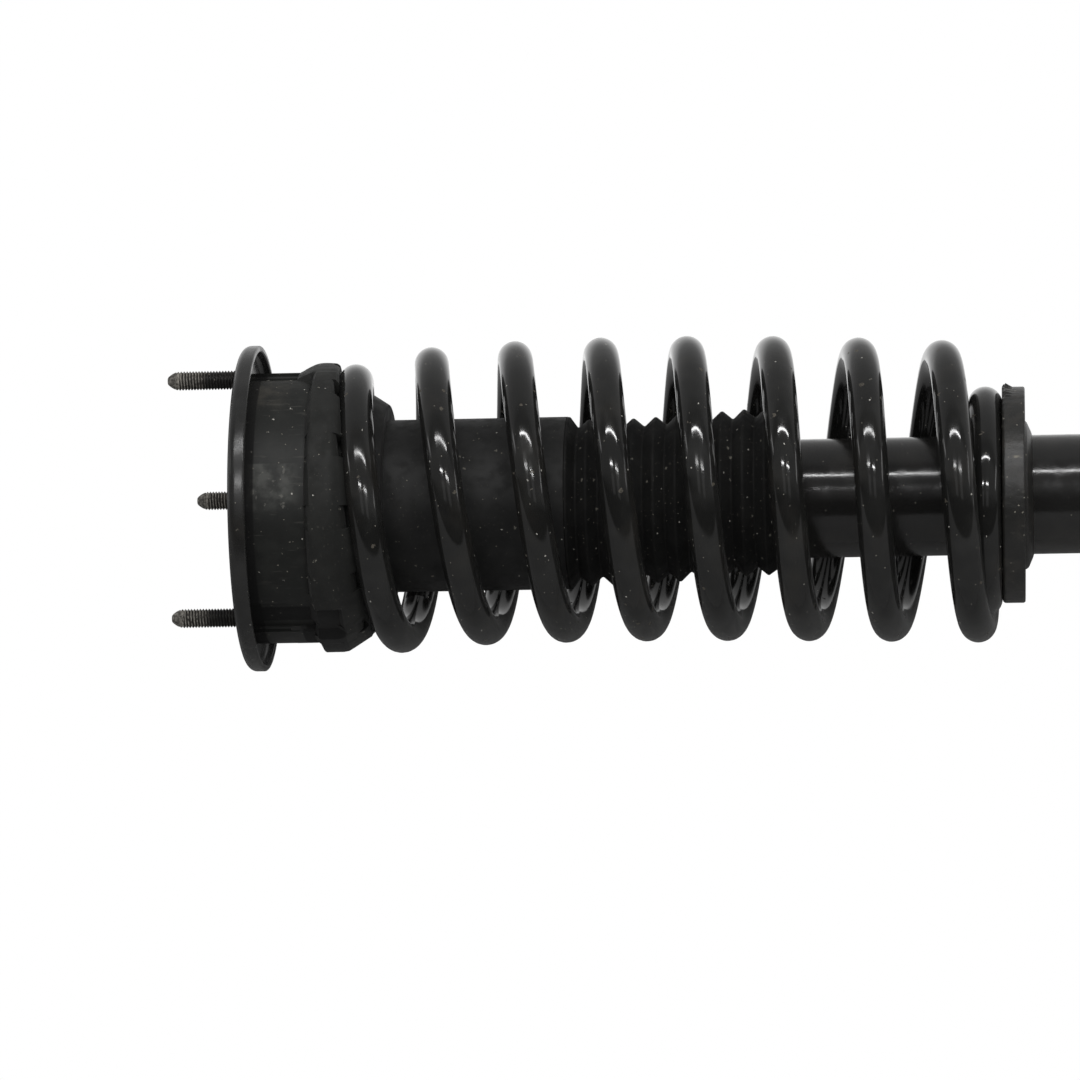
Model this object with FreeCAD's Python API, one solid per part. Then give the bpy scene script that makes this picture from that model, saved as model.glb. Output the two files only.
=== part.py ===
import FreeCAD, Part
import math
import os

# Coil-over suspension strut: a stamped stud mount on top, a rubber isolator, a bowed coil spring,
# a dust boot over the rod, a twin-tube damper with a welded spring seat, and an eye at the bottom.
# Millimetres. +Z runs up the strut. The origin is the centre of the stud circle on the mounting
# face; the strut's own axis lies stud_offset to the -X side of it. Depths count down that axis
# from the mounting face, so a depth of 100 is z = -100.

# Mounting flange and its studs
flange_d = 138.0
flange_t = 2.8
flange_hole_d = 50.0
rim_drop = 7.4
rim_bend = 3.7
stud_circle_d = 115.0
stud_count = 3
stud_first_angle = 90.0
stud_offset = 4.1
stud_d = 8.0
stud_length = 28.8
stud_shank_d = 8.6
stud_foot = 1.2
stud_nose = 4.2
stud_nose_d = 4.6

# Fluted cup under the flange and the rubber bush in it
housing_d = 114.4
housing_wall = 2.0
housing_depth = 24.7
housing_hole_d = 56.0
flute_angles = (-10.5, -144.7, 102.4)
flute_width = 21.0
flute_sink = 3.5
flute_corner = 1.2
bush_recess = 7.0
core_sleeve_d = 20.0
core_disc_d = 64.0
core_disc_t = 3.0
core_disc_drop = 3.5
core_length = 14.0

# Plate under the cup that centres the isolator and carries the boot
seat_plate_t = 2.0
seat_collar_d = 83.0
seat_collar_wall = 2.0
seat_collar_drop = 17.0

# Spring isolator: a rubber ring with a helical ramp and slots along the ramp's edge
isolator_bore_d = 88.0
isolator_top_d = 115.0
isolator_d = 122.6
isolator_flare = 7.0
isolator_nose_d = 109.0
ramp_start_angle = 158.0
ramp_turns = 0.96
ramp_start_rise = 3.8
ramp_pitch = 24.6
slot_count = 12
slot_width = 8.0
slot_sink = 3.0
slot_reach = 6.5

# Coil spring
wire_d = 14.4
coil_d = 114.2
coil_end_shrink = 3.6
coil_pitch = 35.2
coil_turns = 8.88
coil_bow = 5.3
coil_bow_skew = 0.8
coil_seat_gap = 0.34
coil_stop_angle = 1.6
coil_lead = 0.38
coil_lead_slope = 17.0
coil_blend = 6.0
coil_end_blend = 2.0
coil_settle = 2.2
pigtail_d = 78.0
pigtail_turns = 0.43
pigtail_blend = 0.5
pigtail_shift = -1.2
runs_per_turn = 20
wire_sides = 12

# Dust boot: retainer cup, smooth sleeve, pleated bellows
retainer_wall = 2.1
retainer_skirt_d = 94.0
retainer_skirt_drop = 29.0
retainer_skirt_edge = 1.4
retainer_cone_d = 85.6
retainer_cone_length = 6.4
retainer_floor_t = 2.5
sleeve_d = 72.8
sleeve_wall = 2.0
sleeve_flange_d = 82.4
sleeve_end_depth = 136.8
sleeve_fit = 0.1
pleat_count = 9
pleat_pitch = 9.33
pleat_crest_d = 70.3
pleat_valley_d = 62.7
bellows_bore_d = 59.4
bellows_cuff_length = 10.0
bellows_cuff_wall = 2.2
first_crest_drop = 9.3
bellows_nose = 7.2
bellows_lip_d = 54.0
bellows_lip_gap = 0.4

# Rod, its fastening and the bump stop
rod_d = 18.0
rod_thread_d = 12.0
rod_tip_rise = 4.0
thread_clearance = 0.05
nut_across_flats = 19.0
nut_height = 10.0
washer_d = 38.0
washer_t = 2.5
stop_cup_d = 54.0
stop_cup_t = 2.5
stop_cup_wall = 1.5
stop_cup_drop = 12.0
stop_length = 78.0
stop_lobe_d = (50.6, 42.0, 36.0)
stop_waist_d = (33.0, 29.0)
stop_nose_d = 26.0
stop_bore_clearance = 0.2

# Damper body
tube_d = 50.0
tube_wall = 2.0
tube_top_depth = 215.2
tube_lip_d = 39.0
tube_bottom_bend = 1.5
cap_wall = 1.6
cap_depth = 9.0
cap_hole_d = 22.0
seal_height = 5.0
seal_lip_d = 25.0
guide_flange_t = 10.0
guide_length = 18.0
running_gap = 0.05
cylinder_bore_d = 32.0
cylinder_wall = 1.6
rebound_gap = 0.5
rebound_stop_d = 28.0
rebound_stop_t = 9.5
rebound_to_piston = 13.0
piston_d = 31.2
piston_height = 20.0
piston_ring_height = 10.0
piston_ring_depth = 0.85
piston_port_count = 6
piston_port_d = 3.0
piston_port_circle_d = 21.0
piston_thread_d = 10.0
valve_disc_d = (26.0, 22.0, 18.0)
valve_disc_t = 0.5
piston_nut_across_flats = 15.0
piston_nut_height = 8.0
rod_tail = 2.0
travel = 120.0
travel_reserve = 4.5
base_valve_t = 6.0
base_valve_foot_d = 42.0
base_valve_slots = 4
base_valve_slot_width = 5.0

# Lower spring seat on the tube
seat_depth = 318.5
seat_d = 90.6
seat_t = 3.0
seat_rim = 9.6
seat_bend = 2.2
gusset_d = 72.0
gusset_edge_d = 68.6
gusset_top_d = 50.8
gusset_tail = 2.9

# Base and lower eye
base_t = 16.0
base_neck_d = 34.0
eye_d = 40.0
eye_bore_d = 33.0
eye_width = 34.0
eye_rise = 2.0
bush_inset = 1.0
bolt_hole_d = 12.2
pivot_sleeve_d = 18.0
pivot_sleeve_length = 42.0

# Sizes and depths worked out from those above
flange_r = flange_d / 2
housing_r = housing_d / 2
tube_r = tube_d / 2
tube_bore_r = tube_r - tube_wall
wire_r = wire_d / 2
rod_r = rod_d / 2
spigot_r = rod_thread_d / 2
cylinder_r = cylinder_bore_d / 2
sleeve_r = sleeve_d / 2
sleeve_bore_r = sleeve_r - sleeve_wall
collar_r = seat_collar_d / 2
retainer_r = collar_r + retainer_wall

housing_top = flange_t
bush_top = housing_top + housing_wall
bush_bottom = housing_depth - seat_plate_t
core_top = bush_top + bush_recess
core_bottom = core_top + core_length
rod_shoulder = core_bottom + stop_cup_t
stop_bottom = rod_shoulder + stop_length
nut_top = core_top - washer_t - nut_height

skirt_depth = housing_depth + retainer_skirt_drop
retainer_bottom = skirt_depth + retainer_skirt_edge + retainer_cone_length
retainer_floor = retainer_bottom - retainer_floor_t

seal_depth = tube_top_depth + tube_wall
guide_depth = seal_depth + seal_height
cylinder_depth = guide_depth + guide_flange_t
guide_bottom = guide_depth + guide_length
rebound_depth = guide_bottom + rebound_gap
piston_depth = rebound_depth + rebound_stop_t + rebound_to_piston
discs_depth = piston_depth + piston_height
piston_nut_depth = discs_depth + len(valve_disc_d) * valve_disc_t
rod_bottom = piston_nut_depth + piston_nut_height + rod_tail
base_valve_depth = rod_bottom + travel + travel_reserve
cylinder_bottom = base_valve_depth + base_valve_t
base_depth = cylinder_bottom + base_valve_t
tube_bottom = base_depth + base_t
eye_depth = tube_bottom + eye_rise + eye_d / 2


def point(radius, depth):
    return FreeCAD.Vector(radius, 0, -depth)


def outline(corners):
    """Closed outline through (radius, depth, corner size, "arc"): a corner is sharp, cut or an arc."""
    spots = [point(corner[0], corner[1]) for corner in corners]
    count = len(spots)
    ends = []
    for i in range(count):
        here = spots[i]
        back = (spots[i - 1] - here).normalize()
        ahead = (spots[(i + 1) % count] - here).normalize()
        size = corners[i][2] if len(corners[i]) > 2 else 0.0
        if len(corners[i]) < 4:
            ends.append((here + back * size, None, here + ahead * size))
            continue
        half = back.getAngle(ahead) / 2
        reach = size / math.tan(half)
        nearest = here + (back + ahead).normalize() * (size / math.sin(half) - size)
        ends.append((here + back * reach, nearest, here + ahead * reach))
    edges = []
    for i in range(count):
        start, middle, stop = ends[i]
        if middle is not None:
            edges.append(Part.Arc(start, middle, stop).toShape())
        elif start.distanceToPoint(stop) > 1e-6:
            edges.append(Part.LineSegment(start, stop).toShape())
        following = ends[(i + 1) % count][0]
        if stop.distanceToPoint(following) > 1e-6:
            edges.append(Part.LineSegment(stop, following).toShape())
    return Part.Wire(edges)


def turned(corners):
    """Solid turned about the strut's axis from an outline."""
    face = Part.Face(outline(corners))
    solid = face.revolve(FreeCAD.Vector(0, 0, 0), FreeCAD.Vector(0, 0, 1), 360)
    return solid.removeSplitter()


def rod_solid(radius, top, bottom, x=0.0, y=0.0):
    """Upright cylinder between two depths."""
    return Part.makeCylinder(radius, bottom - top, FreeCAD.Vector(x, y, -bottom))


def ring_solid(bore_r, radius, top, bottom):
    """Upright ring between two depths."""
    return turned([(bore_r, top), (radius, top), (radius, bottom), (bore_r, bottom)])


def cross_cylinder(radius, length):
    """Cylinder along Y through the centre of the lower eye."""
    start = FreeCAD.Vector(0, -length / 2, -eye_depth)
    return Part.makeCylinder(radius, length, start, FreeCAD.Vector(0, 1, 0))


def on_circle(radius, angle):
    return radius * math.cos(math.radians(angle)), radius * math.sin(math.radians(angle))


def hexagon(across_flats, top, bottom):
    corner_r = across_flats / math.sqrt(3)
    spots = [FreeCAD.Vector(*on_circle(corner_r, 60 * i), -bottom) for i in range(7)]
    face = Part.Face(Part.makePolygon(spots))
    return face.extrude(FreeCAD.Vector(0, 0, bottom - top))


def soft_max(a, b, blend):
    return 0.5 * (a + b + math.sqrt((a - b) ** 2 + blend ** 2))


def soft_min(a, b, blend):
    return 0.5 * (a + b - math.sqrt((a - b) ** 2 + blend ** 2))


def smooth(t):
    t = min(max(t, 0.0), 1.0)
    return t * t * (3 - 2 * t)


def save(node, shape):
    """Move a finished piece from the strut's axis to the stud circle's frame and write it."""
    shape = shape.copy()
    shape.translate(FreeCAD.Vector(-stud_offset, 0, 0))
    if not shape.isValid():
        raise ValueError(node + " is not a valid solid")
    shape.exportStep(os.path.join("parts", node + ".step"))
    print(node, len(shape.Solids), "solids", round(shape.Volume / 1000, 2), "cm3")


def stud_places():
    """Stud centres, seen from the strut's axis."""
    places = []
    for i in range(stud_count):
        x, y = on_circle(stud_circle_d / 2, stud_first_angle + i * 360.0 / stud_count)
        places.append((x + stud_offset, y))
    return places


# Top mount

def top_flange():
    plate = turned([
        (flange_hole_d / 2, 0), (flange_r, 0, rim_bend, "arc"), (flange_r, rim_drop),
        (flange_r - flange_t, rim_drop),
        (flange_r - flange_t, flange_t, rim_bend - flange_t),
        (flange_hole_d / 2, flange_t)])
    for x, y in stud_places():
        plate = plate.cut(rod_solid(stud_shank_d / 2, -1, flange_t + 1, x, y))
    return plate


def mount_studs():
    """Studs, each with a lead-in nose and a wider shank pressed into the flange."""
    studs = []
    for x, y in stud_places():
        stud = turned([
            (0, -stud_length), (stud_nose_d / 2, -stud_length, 0.8),
            (stud_d / 2, stud_nose - stud_length), (stud_d / 2, 0), (stud_shank_d / 2, 0),
            (stud_shank_d / 2, flange_t + stud_foot), (0, flange_t + stud_foot)])
        stud.translate(FreeCAD.Vector(x, y, 0))
        studs.append(stud)
    return Part.makeCompound(studs)


def fluted_block(inset, top, bottom):
    """Round block with the flutes pressed into its wall; inset shrinks it all round."""
    block = rod_solid(housing_r - inset, top, bottom)
    floor_r = housing_r - flute_sink - inset
    half = flute_width / 2 + inset
    reach = housing_r + flute_sink
    for angle in flute_angles:
        slot = Part.makeBox(
            reach - floor_r, 2 * half, bottom - top + 2, FreeCAD.Vector(floor_r, -half, -bottom - 1))
        upright = [
            edge for edge in slot.Edges
            if abs(edge.tangentAt(edge.FirstParameter).z) > 0.9
            and abs(edge.CenterOfMass.x - floor_r) < 1e-6]
        slot = slot.makeFillet(flute_corner, upright)
        slot.rotate(FreeCAD.Vector(0, 0, 0), FreeCAD.Vector(0, 0, 1), angle)
        block = block.cut(slot)
    return block


def mount_housing():
    """Fluted cup, open below, with a relief in its top over each stud's foot."""
    cup = fluted_block(0.0, housing_top, housing_depth)
    cup = cup.cut(fluted_block(housing_wall, bush_top, housing_depth + 1))
    cup = cup.cut(rod_solid(housing_hole_d / 2, housing_top - 1, bush_top + 1))
    for x, y in stud_places():
        relief_r = stud_shank_d / 2 + running_gap
        cup = cup.cut(rod_solid(relief_r, housing_top - 1, housing_top + stud_foot + running_gap, x, y))
    return cup


def mount_core():
    """Sleeve for the rod's spigot, with a disc that the rubber holds."""
    disc_top = core_top + core_disc_drop
    disc_bottom = disc_top + core_disc_t
    bore_r = spigot_r + thread_clearance
    sleeve_end_r = core_sleeve_d / 2
    return turned([
        (bore_r, core_top), (sleeve_end_r, core_top), (sleeve_end_r, disc_top),
        (core_disc_d / 2, disc_top), (core_disc_d / 2, disc_bottom), (sleeve_end_r, disc_bottom),
        (sleeve_end_r, core_bottom), (bore_r, core_bottom)])


def mount_bush():
    """Rubber that fills the cup and holds the core."""
    rubber = fluted_block(housing_wall, bush_top, bush_bottom)
    rubber = rubber.cut(rod_solid(housing_hole_d / 2, bush_top - 1, core_top))
    rubber = rubber.cut(rod_solid(core_sleeve_d / 2, core_top - 1, core_bottom + 1))
    return rubber.cut(mount_core())


def upper_spring_seat():
    """Plate pressed into the cup, with a collar turned down round its hole."""
    plate = fluted_block(housing_wall, bush_bottom, housing_depth)
    plate = plate.cut(rod_solid(collar_r - seat_collar_wall, bush_bottom - 1, housing_depth + 1))
    collar = ring_solid(
        collar_r - seat_collar_wall, collar_r, bush_bottom, housing_depth + seat_collar_drop)
    return plate.fuse(collar).removeSplitter()


# Spring and isolator

def helix_slab(bore_r, radius, first_depth, pitch, turns, thickness, first_angle):
    """Slab whose upper side is a helical ramp that sinks clockwise as seen from above."""
    height = pitch * turns
    profile = Part.makePolygon([
        FreeCAD.Vector(bore_r, 0, 0), FreeCAD.Vector(radius, 0, 0),
        FreeCAD.Vector(radius, 0, -thickness), FreeCAD.Vector(bore_r, 0, -thickness),
        FreeCAD.Vector(bore_r, 0, 0)])
    spine = Part.makeHelix(pitch, height, (bore_r + radius) / 2)
    shell = Part.BRepOffsetAPI.MakePipeShell(spine)
    shell.setBiNormalMode(FreeCAD.Vector(0, 0, 1))
    shell.add(profile)
    shell.build()
    shell.makeSolid()
    slab = shell.shape()
    slab.translate(FreeCAD.Vector(0, 0, -height - first_depth))
    slab.rotate(FreeCAD.Vector(0, 0, 0), FreeCAD.Vector(0, 0, 1), first_angle - 360.0 * turns)
    return slab


def ramp_depth(angle):
    """Depth of the ramp at an angle, counted clockwise from where it starts."""
    return housing_depth + ramp_start_rise + ramp_pitch * (ramp_start_angle - angle) / 360.0


def spring_isolator():
    """Rubber ring cut by the helical ramp, with slots along the ramp's outer edge."""
    bottom = ramp_depth(ramp_start_angle - 360.0 * ramp_turns)
    ring = turned([
        (isolator_bore_d / 2, housing_depth), (isolator_top_d / 2, housing_depth),
        (isolator_d / 2, housing_depth + isolator_flare, 1.5),
        (isolator_d / 2, housing_depth + 2 * isolator_flare, 2.0),
        (isolator_nose_d / 2, bottom), (isolator_bore_d / 2, bottom)])
    ramp_top = housing_depth + ramp_start_rise
    ring = ring.cut(helix_slab(
        isolator_bore_d / 2 - 4, isolator_d / 2 + 4, ramp_top, ramp_pitch, ramp_turns,
        ramp_pitch * ramp_turns + 2, ramp_start_angle))
    for i in range(slot_count):
        angle = ramp_start_angle - (i + 0.5) * 360.0 / slot_count
        if i + 0.5 > ramp_turns * slot_count - 0.5:
            continue
        depth = ramp_depth(angle) - slot_sink
        slot = Part.makeBox(
            slot_reach + 4, slot_width, bottom - depth + 1,
            FreeCAD.Vector(isolator_d / 2 - slot_reach, -slot_width / 2, -bottom - 1))
        slot.rotate(FreeCAD.Vector(0, 0, 0), FreeCAD.Vector(0, 0, 1), angle)
        ring = ring.cut(slot)
    return ring


coil_start_depth = housing_depth + ramp_start_rise + wire_r + coil_seat_gap
coil_end_depth = seat_depth - wire_r - coil_seat_gap


def coil_depth(turn):
    """Depth of the wire's centre: a flat first coil, an even pitch and a flat last coil."""
    lead = coil_start_depth - coil_seat_gap + coil_lead_slope * turn
    middle_turn = coil_turns / 2
    middle_depth = (coil_start_depth + coil_end_depth) / 2 + coil_pitch * coil_lead
    even = middle_depth + coil_pitch * (turn - middle_turn)
    return soft_min(soft_max(lead, even, coil_blend), coil_end_depth, coil_end_blend)


def pigtail_share(turn):
    """How far a place on the wire has drawn in to the small last coil, from 0 to 1."""
    return smooth((turn - (coil_turns - pigtail_turns - pigtail_blend)) / pigtail_blend)


def coil_radius(turn):
    """Radius of the wire's centre: a little less near the ends, and small in the last coil."""
    share = 2 * turn / coil_turns - 1
    radius = coil_d / 2 - coil_end_shrink / 2 * share ** 2
    return radius + (pigtail_d / 2 - radius) * pigtail_share(turn)


def coil_bow_at(turn):
    """Sideways bow of the spring's centre line, and the small coil's place off the axis."""
    bow = coil_bow * math.sin(math.pi * (turn / coil_turns) ** coil_bow_skew)
    return bow + pigtail_shift * pigtail_share(turn)


def coil_lean(turn):
    """Tilt of a coil, which stays square to the bowed centre line and level on its two seats."""
    length = coil_end_depth - coil_start_depth
    slope = coil_bow * math.pi / length * math.cos(math.pi * (turn / coil_turns) ** coil_bow_skew)
    return math.atan(slope) * smooth(turn / coil_settle) * smooth((coil_turns - turn) / coil_settle)


def coil_point(turn):
    """Point on the wire's centre line."""
    angle = math.radians(ramp_start_angle - coil_stop_angle) - 2 * math.pi * turn
    across = coil_radius(turn) * math.cos(angle)
    along = coil_radius(turn) * math.sin(angle)
    lean = coil_lean(turn)
    return FreeCAD.Vector(
        coil_bow_at(turn) + across * math.cos(lean), along,
        -coil_depth(turn) + across * math.sin(lean))


def coil_spring():
    """Wire of short mitred runs and many sides, as thick as the round wire it stands for."""
    count = int(round(coil_turns * runs_per_turn))
    path = [coil_point(coil_turns * i / count) for i in range(count + 1)]
    heading = (path[1] - path[0]).normalize()
    side = heading.cross(FreeCAD.Vector(0, 0, 1)).normalize()
    up = heading.cross(side)
    step = 2 * math.pi / wire_sides
    corner_r = wire_r * math.sqrt(step / math.sin(step))
    section = [
        path[0] + side * (corner_r * math.cos(i * step)) + up * (corner_r * math.sin(i * step))
        for i in range(wire_sides)]
    sweep = Part.BRepOffsetAPI.MakePipeShell(Part.makePolygon(path))
    sweep.setTransitionMode(1)
    sweep.add(Part.makePolygon(section + section[:1]))
    sweep.build()
    sweep.makeSolid()
    return sweep.shape()


# Dust boot

def boot_retainer():
    """Cup on the seat plate's collar, with a skirt inside the first coil."""
    return turned([
        (collar_r, housing_depth + 0.5), (retainer_r, housing_depth + 0.5),
        (retainer_r, skirt_depth - retainer_skirt_edge), (retainer_skirt_d / 2, skirt_depth),
        (retainer_skirt_d / 2, skirt_depth + retainer_skirt_edge),
        (retainer_cone_d / 2, retainer_bottom, 1.0), (sleeve_r + sleeve_fit, retainer_bottom),
        (sleeve_r + sleeve_fit, retainer_floor), (collar_r, retainer_floor)])


def dust_sleeve():
    """Smooth upper part of the boot, hung from a flange on the retainer's floor."""
    flange_top = retainer_floor - sleeve_wall
    return turned([
        (sleeve_bore_r, flange_top, 1.0), (sleeve_flange_d / 2, flange_top),
        (sleeve_flange_d / 2, retainer_floor), (sleeve_r, retainer_floor),
        (sleeve_r, sleeve_end_depth), (sleeve_bore_r, sleeve_end_depth)])


def dust_bellows():
    """Pleated lower part of the boot: a cuff in the sleeve, the pleats and a wiping lip."""
    cuff_r = sleeve_bore_r - sleeve_fit
    crest = sleeve_end_depth + first_crest_drop
    corners = [
        (cuff_r - bellows_cuff_wall, sleeve_end_depth - bellows_cuff_length),
        (cuff_r, sleeve_end_depth - bellows_cuff_length), (cuff_r, sleeve_end_depth),
        (sleeve_r, sleeve_end_depth), (pleat_valley_d / 2, crest - pleat_pitch / 2)]
    for i in range(pleat_count):
        corners.append((pleat_crest_d / 2, crest + i * pleat_pitch))
        if i < pleat_count - 1:
            corners.append((pleat_valley_d / 2, crest + (i + 0.5) * pleat_pitch))
    last_crest = crest + (pleat_count - 1) * pleat_pitch
    end = last_crest + bellows_nose
    lip_bore_r = tube_r + bellows_lip_gap
    corners += [
        (bellows_lip_d / 2, end), (lip_bore_r, end), (lip_bore_r, end - 1.5),
        (bellows_bore_d / 2, last_crest), (bellows_bore_d / 2, sleeve_end_depth),
        (cuff_r - bellows_cuff_wall, sleeve_end_depth - 2)]
    return turned(corners)


# Rod, bump stop and piston

def rod_nut():
    blank = hexagon(nut_across_flats, nut_top, nut_top + nut_height)
    return blank.cut(rod_solid(spigot_r + thread_clearance, nut_top - 1, core_top))


def upper_washer():
    return ring_solid(spigot_r + thread_clearance, washer_d / 2, core_top - washer_t, core_top)


def bump_stop_cup():
    return turned([
        (spigot_r + thread_clearance, core_bottom), (stop_cup_d / 2, core_bottom, 2.0),
        (stop_cup_d / 2, core_bottom + stop_cup_drop),
        (stop_cup_d / 2 - stop_cup_wall, core_bottom + stop_cup_drop),
        (stop_cup_d / 2 - stop_cup_wall, rod_shoulder), (spigot_r + thread_clearance, rod_shoulder)])


def bump_stop():
    """Foam stop round the rod, with a waist between each two lobes."""
    bore_r = rod_r + stop_bore_clearance
    share = stop_length / 6
    return turned([
        (bore_r, rod_shoulder), (stop_lobe_d[0] / 2, rod_shoulder),
        (stop_lobe_d[0] / 2, rod_shoulder + 1.3 * share, 3.0),
        (stop_waist_d[0] / 2, rod_shoulder + 2 * share, 1.5),
        (stop_lobe_d[1] / 2, rod_shoulder + 3 * share, 3.0),
        (stop_waist_d[1] / 2, rod_shoulder + 4 * share, 1.5),
        (stop_lobe_d[2] / 2, rod_shoulder + 5 * share, 3.0),
        (stop_nose_d / 2, stop_bottom, 1.0), (bore_r, stop_bottom)])


def piston_rod():
    """Rod with a threaded spigot at each end, ground between the shoulders."""
    return turned([
        (0, -rod_tip_rise), (spigot_r - 1, -rod_tip_rise), (spigot_r, 1 - rod_tip_rise),
        (spigot_r, rod_shoulder), (rod_r, rod_shoulder), (rod_r, piston_depth),
        (piston_thread_d / 2, piston_depth), (piston_thread_d / 2, rod_bottom), (0, rod_bottom)])


def rebound_stop():
    return turned([
        (rod_r, rebound_depth), (rebound_stop_d / 2, rebound_depth, 1.5),
        (rebound_stop_d / 2, rebound_depth + rebound_stop_t - 2.0),
        (rod_r + 2, rebound_depth + rebound_stop_t), (rod_r, rebound_depth + rebound_stop_t)])


def piston():
    """Piston with a groove for its ring and a circle of oil ports."""
    groove_top = piston_depth + (piston_height - piston_ring_height) / 2
    groove_bottom = groove_top + piston_ring_height
    groove_r = piston_d / 2 - piston_ring_depth
    body = turned([
        (piston_thread_d / 2, piston_depth), (piston_d / 2, piston_depth),
        (piston_d / 2, groove_top), (groove_r, groove_top), (groove_r, groove_bottom),
        (piston_d / 2, groove_bottom), (piston_d / 2, discs_depth),
        (piston_thread_d / 2, discs_depth)])
    for i in range(piston_port_count):
        x, y = on_circle(piston_port_circle_d / 2, i * 360.0 / piston_port_count)
        body = body.cut(rod_solid(piston_port_d / 2, piston_depth - 1, discs_depth + 1, x, y))
    return body


def piston_ring():
    top = piston_depth + (piston_height - piston_ring_height) / 2
    return ring_solid(
        piston_d / 2 - piston_ring_depth, cylinder_r - running_gap, top, top + piston_ring_height)


def piston_valve_discs():
    """Spring-steel discs stacked under the piston, each smaller than the one above."""
    discs = []
    for i, disc_d in enumerate(valve_disc_d):
        top = discs_depth + i * valve_disc_t
        discs.append(ring_solid(piston_thread_d / 2, disc_d / 2, top, top + valve_disc_t))
    return Part.makeCompound(discs)


def piston_nut():
    bottom = piston_nut_depth + piston_nut_height
    blank = hexagon(piston_nut_across_flats, piston_nut_depth, bottom)
    return blank.cut(rod_solid(piston_thread_d / 2, piston_nut_depth - 1, bottom + 1))


# Damper body

def damper_tube():
    return turned([
        (tube_lip_d / 2, tube_top_depth), (tube_r, tube_top_depth, tube_wall),
        (tube_r, tube_bottom, tube_bottom_bend), (tube_bore_r, tube_bottom),
        (tube_bore_r, seal_depth), (tube_lip_d / 2, seal_depth)])


def tube_cap():
    """Cap that takes the blow of the bump stop on top of the tube."""
    cap_r = tube_r + cap_wall
    return turned([
        (cap_hole_d / 2, tube_top_depth - cap_wall), (cap_r, tube_top_depth - cap_wall, 1.5),
        (cap_r, tube_top_depth + cap_depth), (tube_r, tube_top_depth + cap_depth),
        (tube_r, tube_top_depth), (cap_hole_d / 2, tube_top_depth)])


def rod_seal():
    bore_r = rod_r + running_gap
    return turned([
        (bore_r, seal_depth), (seal_lip_d / 2, seal_depth), (seal_lip_d / 2 + 2, seal_depth + 1.5),
        (tube_lip_d / 2, seal_depth), (tube_bore_r, seal_depth), (tube_bore_r, guide_depth),
        (bore_r, guide_depth)])


def rod_guide():
    bore_r = rod_r + running_gap
    return turned([
        (bore_r, guide_depth), (tube_bore_r, guide_depth), (tube_bore_r, cylinder_depth),
        (cylinder_r, cylinder_depth), (cylinder_r, guide_bottom), (bore_r, guide_bottom)])


def inner_cylinder():
    return ring_solid(cylinder_r, cylinder_r + cylinder_wall, cylinder_depth, cylinder_bottom)


def base_valve():
    """Foot valve: a plug in the cylinder on a slotted foot that lets the oil round it."""
    body = turned([
        (0, base_valve_depth), (cylinder_r, base_valve_depth, 1.0), (cylinder_r, cylinder_bottom),
        (base_valve_foot_d / 2, cylinder_bottom), (base_valve_foot_d / 2, base_depth),
        (0, base_depth)])
    for i in range(base_valve_slots // 2):
        slot = Part.makeBox(
            base_valve_foot_d + 2, base_valve_slot_width, base_valve_t / 2,
            FreeCAD.Vector(-base_valve_foot_d / 2 - 1, -base_valve_slot_width / 2, -base_depth))
        slot.rotate(FreeCAD.Vector(0, 0, 0), FreeCAD.Vector(0, 0, 1), i * 360.0 / base_valve_slots)
        body = body.cut(slot)
    return body


def lower_spring_seat():
    """Pressed dish welded on the tube, with its rim turned down."""
    rim_bottom = seat_depth + seat_rim
    inner_r = seat_d / 2 - seat_t
    return turned([
        (tube_r, seat_depth), (seat_d / 2, seat_depth, seat_bend, "arc"), (seat_d / 2, rim_bottom, 1.0),
        (inner_r, rim_bottom), (inner_r, seat_depth + seat_t, seat_bend / 2),
        (tube_r, seat_depth + seat_t)])


def seat_gusset():
    """Cone under the dish that carries it on the tube."""
    rim_bottom = seat_depth + seat_rim
    top = seat_depth + seat_t
    return turned([
        (tube_r, top), (gusset_d / 2, top), (gusset_edge_d / 2, rim_bottom, 1.0),
        (gusset_top_d / 2, rim_bottom + gusset_tail), (tube_r, rim_bottom + gusset_tail)])


def tube_base():
    """Plug in the tube's end, saddled on the eye."""
    neck_bottom = tube_bottom + eye_rise + eye_d / 4
    body = turned([
        (0, base_depth), (tube_bore_r, base_depth), (tube_bore_r, tube_bottom),
        (base_neck_d / 2, neck_bottom), (0, neck_bottom)])
    return body.cut(cross_cylinder(eye_d / 2, 2 * tube_d))


def lower_eye():
    return cross_cylinder(eye_d / 2, eye_width).cut(cross_cylinder(eye_bore_d / 2, eye_width + 2))


def eye_bush():
    length = eye_width - 2 * bush_inset
    bore_r = pivot_sleeve_d / 2 + running_gap
    return cross_cylinder(eye_bore_d / 2, length).cut(cross_cylinder(bore_r, length + 2))


def eye_sleeve():
    outer = cross_cylinder(pivot_sleeve_d / 2, pivot_sleeve_length)
    return outer.cut(cross_cylinder(bolt_hole_d / 2, pivot_sleeve_length + 2))


pieces = (
    top_flange, mount_studs, mount_housing, mount_core, mount_bush, upper_spring_seat,
    spring_isolator, coil_spring, boot_retainer, dust_sleeve, dust_bellows, rod_nut, upper_washer,
    bump_stop_cup, bump_stop, piston_rod, rebound_stop, piston, piston_ring, piston_valve_discs,
    piston_nut, damper_tube, tube_cap, rod_seal, rod_guide, inner_cylinder, base_valve,
    lower_spring_seat, seat_gusset, tube_base, lower_eye, eye_bush, eye_sleeve)
for piece in pieces:
    save(piece.__name__, piece())
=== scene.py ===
import math

import bmesh
import bpy
import numpy as np
from mathutils import Matrix, Vector, noise


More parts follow.
